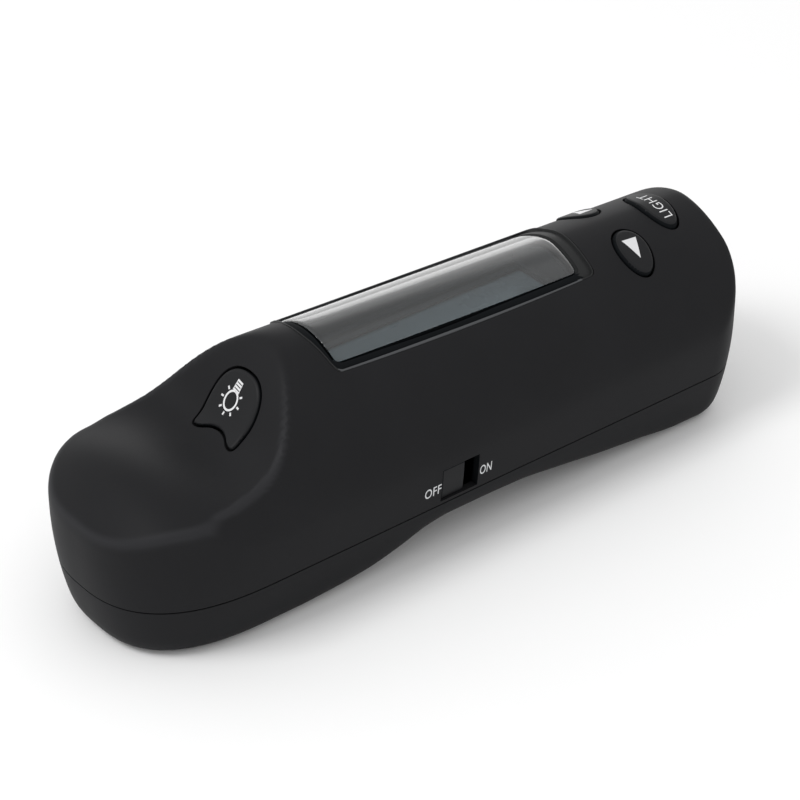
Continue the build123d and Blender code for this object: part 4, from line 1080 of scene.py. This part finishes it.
# shadow line along the slider's upper and leading edges
sx0, sx1, sz1, sz0 = SW["x0"] + 0.32, SW["x1"] - SW["travel"] - 0.3, SW["z1"] - 0.32, SW["z0"] + 0.35
SLIDE_TREE = BVHTree.FromObject(NODES["power_slider"], bpy.context.evaluated_depsgraph_get())
decal("slider_edge", flat_poly([[(sx0, sz1 - 0.42), (sx1, sz1 - 0.42), (sx1, sz1), (sx0, sz1)], [(sx0, sz0), (sx0 + 0.42, sz0), (sx0 + 0.42, sz1 - 0.42), (sx0, sz1 - 0.42)]]),
      SLIDE_TREE, SIDE, (0, 0), "power_slider", "inner_black", PAINTED_SHADE, lift=0.02)

# ---------------------------------------------------------------------------
# Floor, light, camera
# ---------------------------------------------------------------------------
fm, nt, p = nodes_of("floor_paper")
p.inputs["Base Color"].default_value = (0.93, 0.93, 0.93, 1)
p.inputs["Roughness"].default_value = 0.9
nn = add_node(nt, "ShaderNodeTexNoise", Scale=60.0, Detail=3.0)
bp = nt.nodes.new("ShaderNodeBump")
bp.inputs["Strength"].default_value = 0.02
nt.links.new(nn.outputs["Fac"], bp.inputs["Height"])
nt.links.new(bp.outputs["Normal"], p.inputs["Normal"])
fl = bpy.data.meshes.new("floor")
fl.from_pydata([(-6, -6, 0), (6, -6, 0), (6, 6, 0), (-6, 6, 0)], [], [[0, 1, 2, 3]])
floor = bpy.data.objects.new("floor", fl)
bpy.context.scene.collection.objects.link(floor)
floor.data.materials.append(fm)

WORLD_LOW, WORLD_MID, WORLD_TOP, WORLD_REST = 1.9, 1.15, 0.64, 0.86
world = bpy.data.worlds.new("studio")
bpy.context.scene.world = world
world.use_nodes = True
wn = world.node_tree
bg = wn.nodes["Background"]
bg.inputs["Color"].default_value = (1.0, 1.0, 1.0, 1)
# pale room, with a broad lit wall low down behind the far side and a dimmer ceiling
wt = wn.nodes.new("ShaderNodeTexCoord")
sep = wn.nodes.new("ShaderNodeSeparateXYZ")
wn.links.new(wt.outputs["Generated"], sep.inputs["Vector"])


def world_math(op, a, b, clamp=False):
    n = wn.nodes.new("ShaderNodeMath")
    n.operation, n.use_clamp = op, clamp
    for k, v in enumerate((a, b)):
        if isinstance(v, (int, float)):
            n.inputs[k].default_value = v
        else:
            wn.links.new(v, n.inputs[k])
    return n.outputs[0]


def world_step(v, lo, hi, a, b):
    n = wn.nodes.new("ShaderNodeMapRange")
    n.interpolation_type = "SMOOTHSTEP"
    wn.links.new(v, n.inputs["Value"])
    for k, x in (("From Min", lo), ("From Max", hi), ("To Min", a), ("To Max", b)):
        n.inputs[k].default_value = x
    return n.outputs["Result"]


flat = world_math("SQRT", world_math("ADD", world_math("MULTIPLY", sep.outputs["X"], sep.outputs["X"]),
                                     world_math("MULTIPLY", sep.outputs["Y"], sep.outputs["Y"])), 0.0)
toward = world_math("ADD", world_math("MULTIPLY", sep.outputs["X"], 0.755), world_math("MULTIPLY", sep.outputs["Y"], 0.656))
side = world_step(world_math("DIVIDE", toward, flat), 0.79, 0.93, 0.0, 1.0)
low = world_step(sep.outputs["Z"], 0.18, 0.34, WORLD_LOW, WORLD_MID)
high = world_step(sep.outputs["Z"], 0.60, 0.74, 0.0, 1.0)
wall = world_math("ADD", world_math("MULTIPLY", low, world_math("SUBTRACT", 1.0, high)), world_math("MULTIPLY", high, WORLD_TOP))
power = world_math("ADD", world_math("MULTIPLY", wall, side), world_math("MULTIPLY", world_math("SUBTRACT", 1.0, side), WORLD_REST))
wn.links.new(power, bg.inputs["Strength"])


def area(name, loc, target, size, power, color=(1, 1, 1)):
    ld = bpy.data.lights.new(name, "AREA")
    ld.shape = "RECTANGLE"
    ld.size, ld.size_y = size
    ld.energy = power
    ld.color = color
    lo = bpy.data.objects.new(name, ld)
    bpy.context.scene.collection.objects.link(lo)
    lo.location = loc
    lo.rotation_euler = (Vector(target) - Vector(loc)).to_track_quat("-Z", "Y").to_euler()
    return lo


area("key_light", (-0.80, 0.16, 1.10), (-0.05, 0, 0.04), (0.5, 0.5), 7.0)

cam_d = bpy.data.cameras.new("camera")
cam = bpy.data.objects.new("camera", cam_d)
bpy.context.scene.collection.objects.link(cam)
AZ, EL, D, FPX, ROLL = math.radians(-38.912), math.radians(33.084), 0.734137, 2696.79, math.radians(0.117)
TGT = Vector((0.000575, 0.0, 0.030168))
back = Vector((math.sin(AZ) * math.cos(EL), -math.cos(AZ) * math.cos(EL), math.sin(EL)))
cam.location = TGT + back * D
q = (-back).to_track_quat("-Z", "Y")
cam.rotation_euler = q.to_euler()
cam_d.sensor_width = 36.0
cam_d.lens = FPX / 800 * 36.0
cam_d.clip_start, cam_d.clip_end = 0.01, 50
bpy.context.scene.camera = cam
bpy.context.scene.render.resolution_x = 800
bpy.context.scene.render.resolution_y = 800
bpy.context.scene.view_settings.view_transform = "Standard"
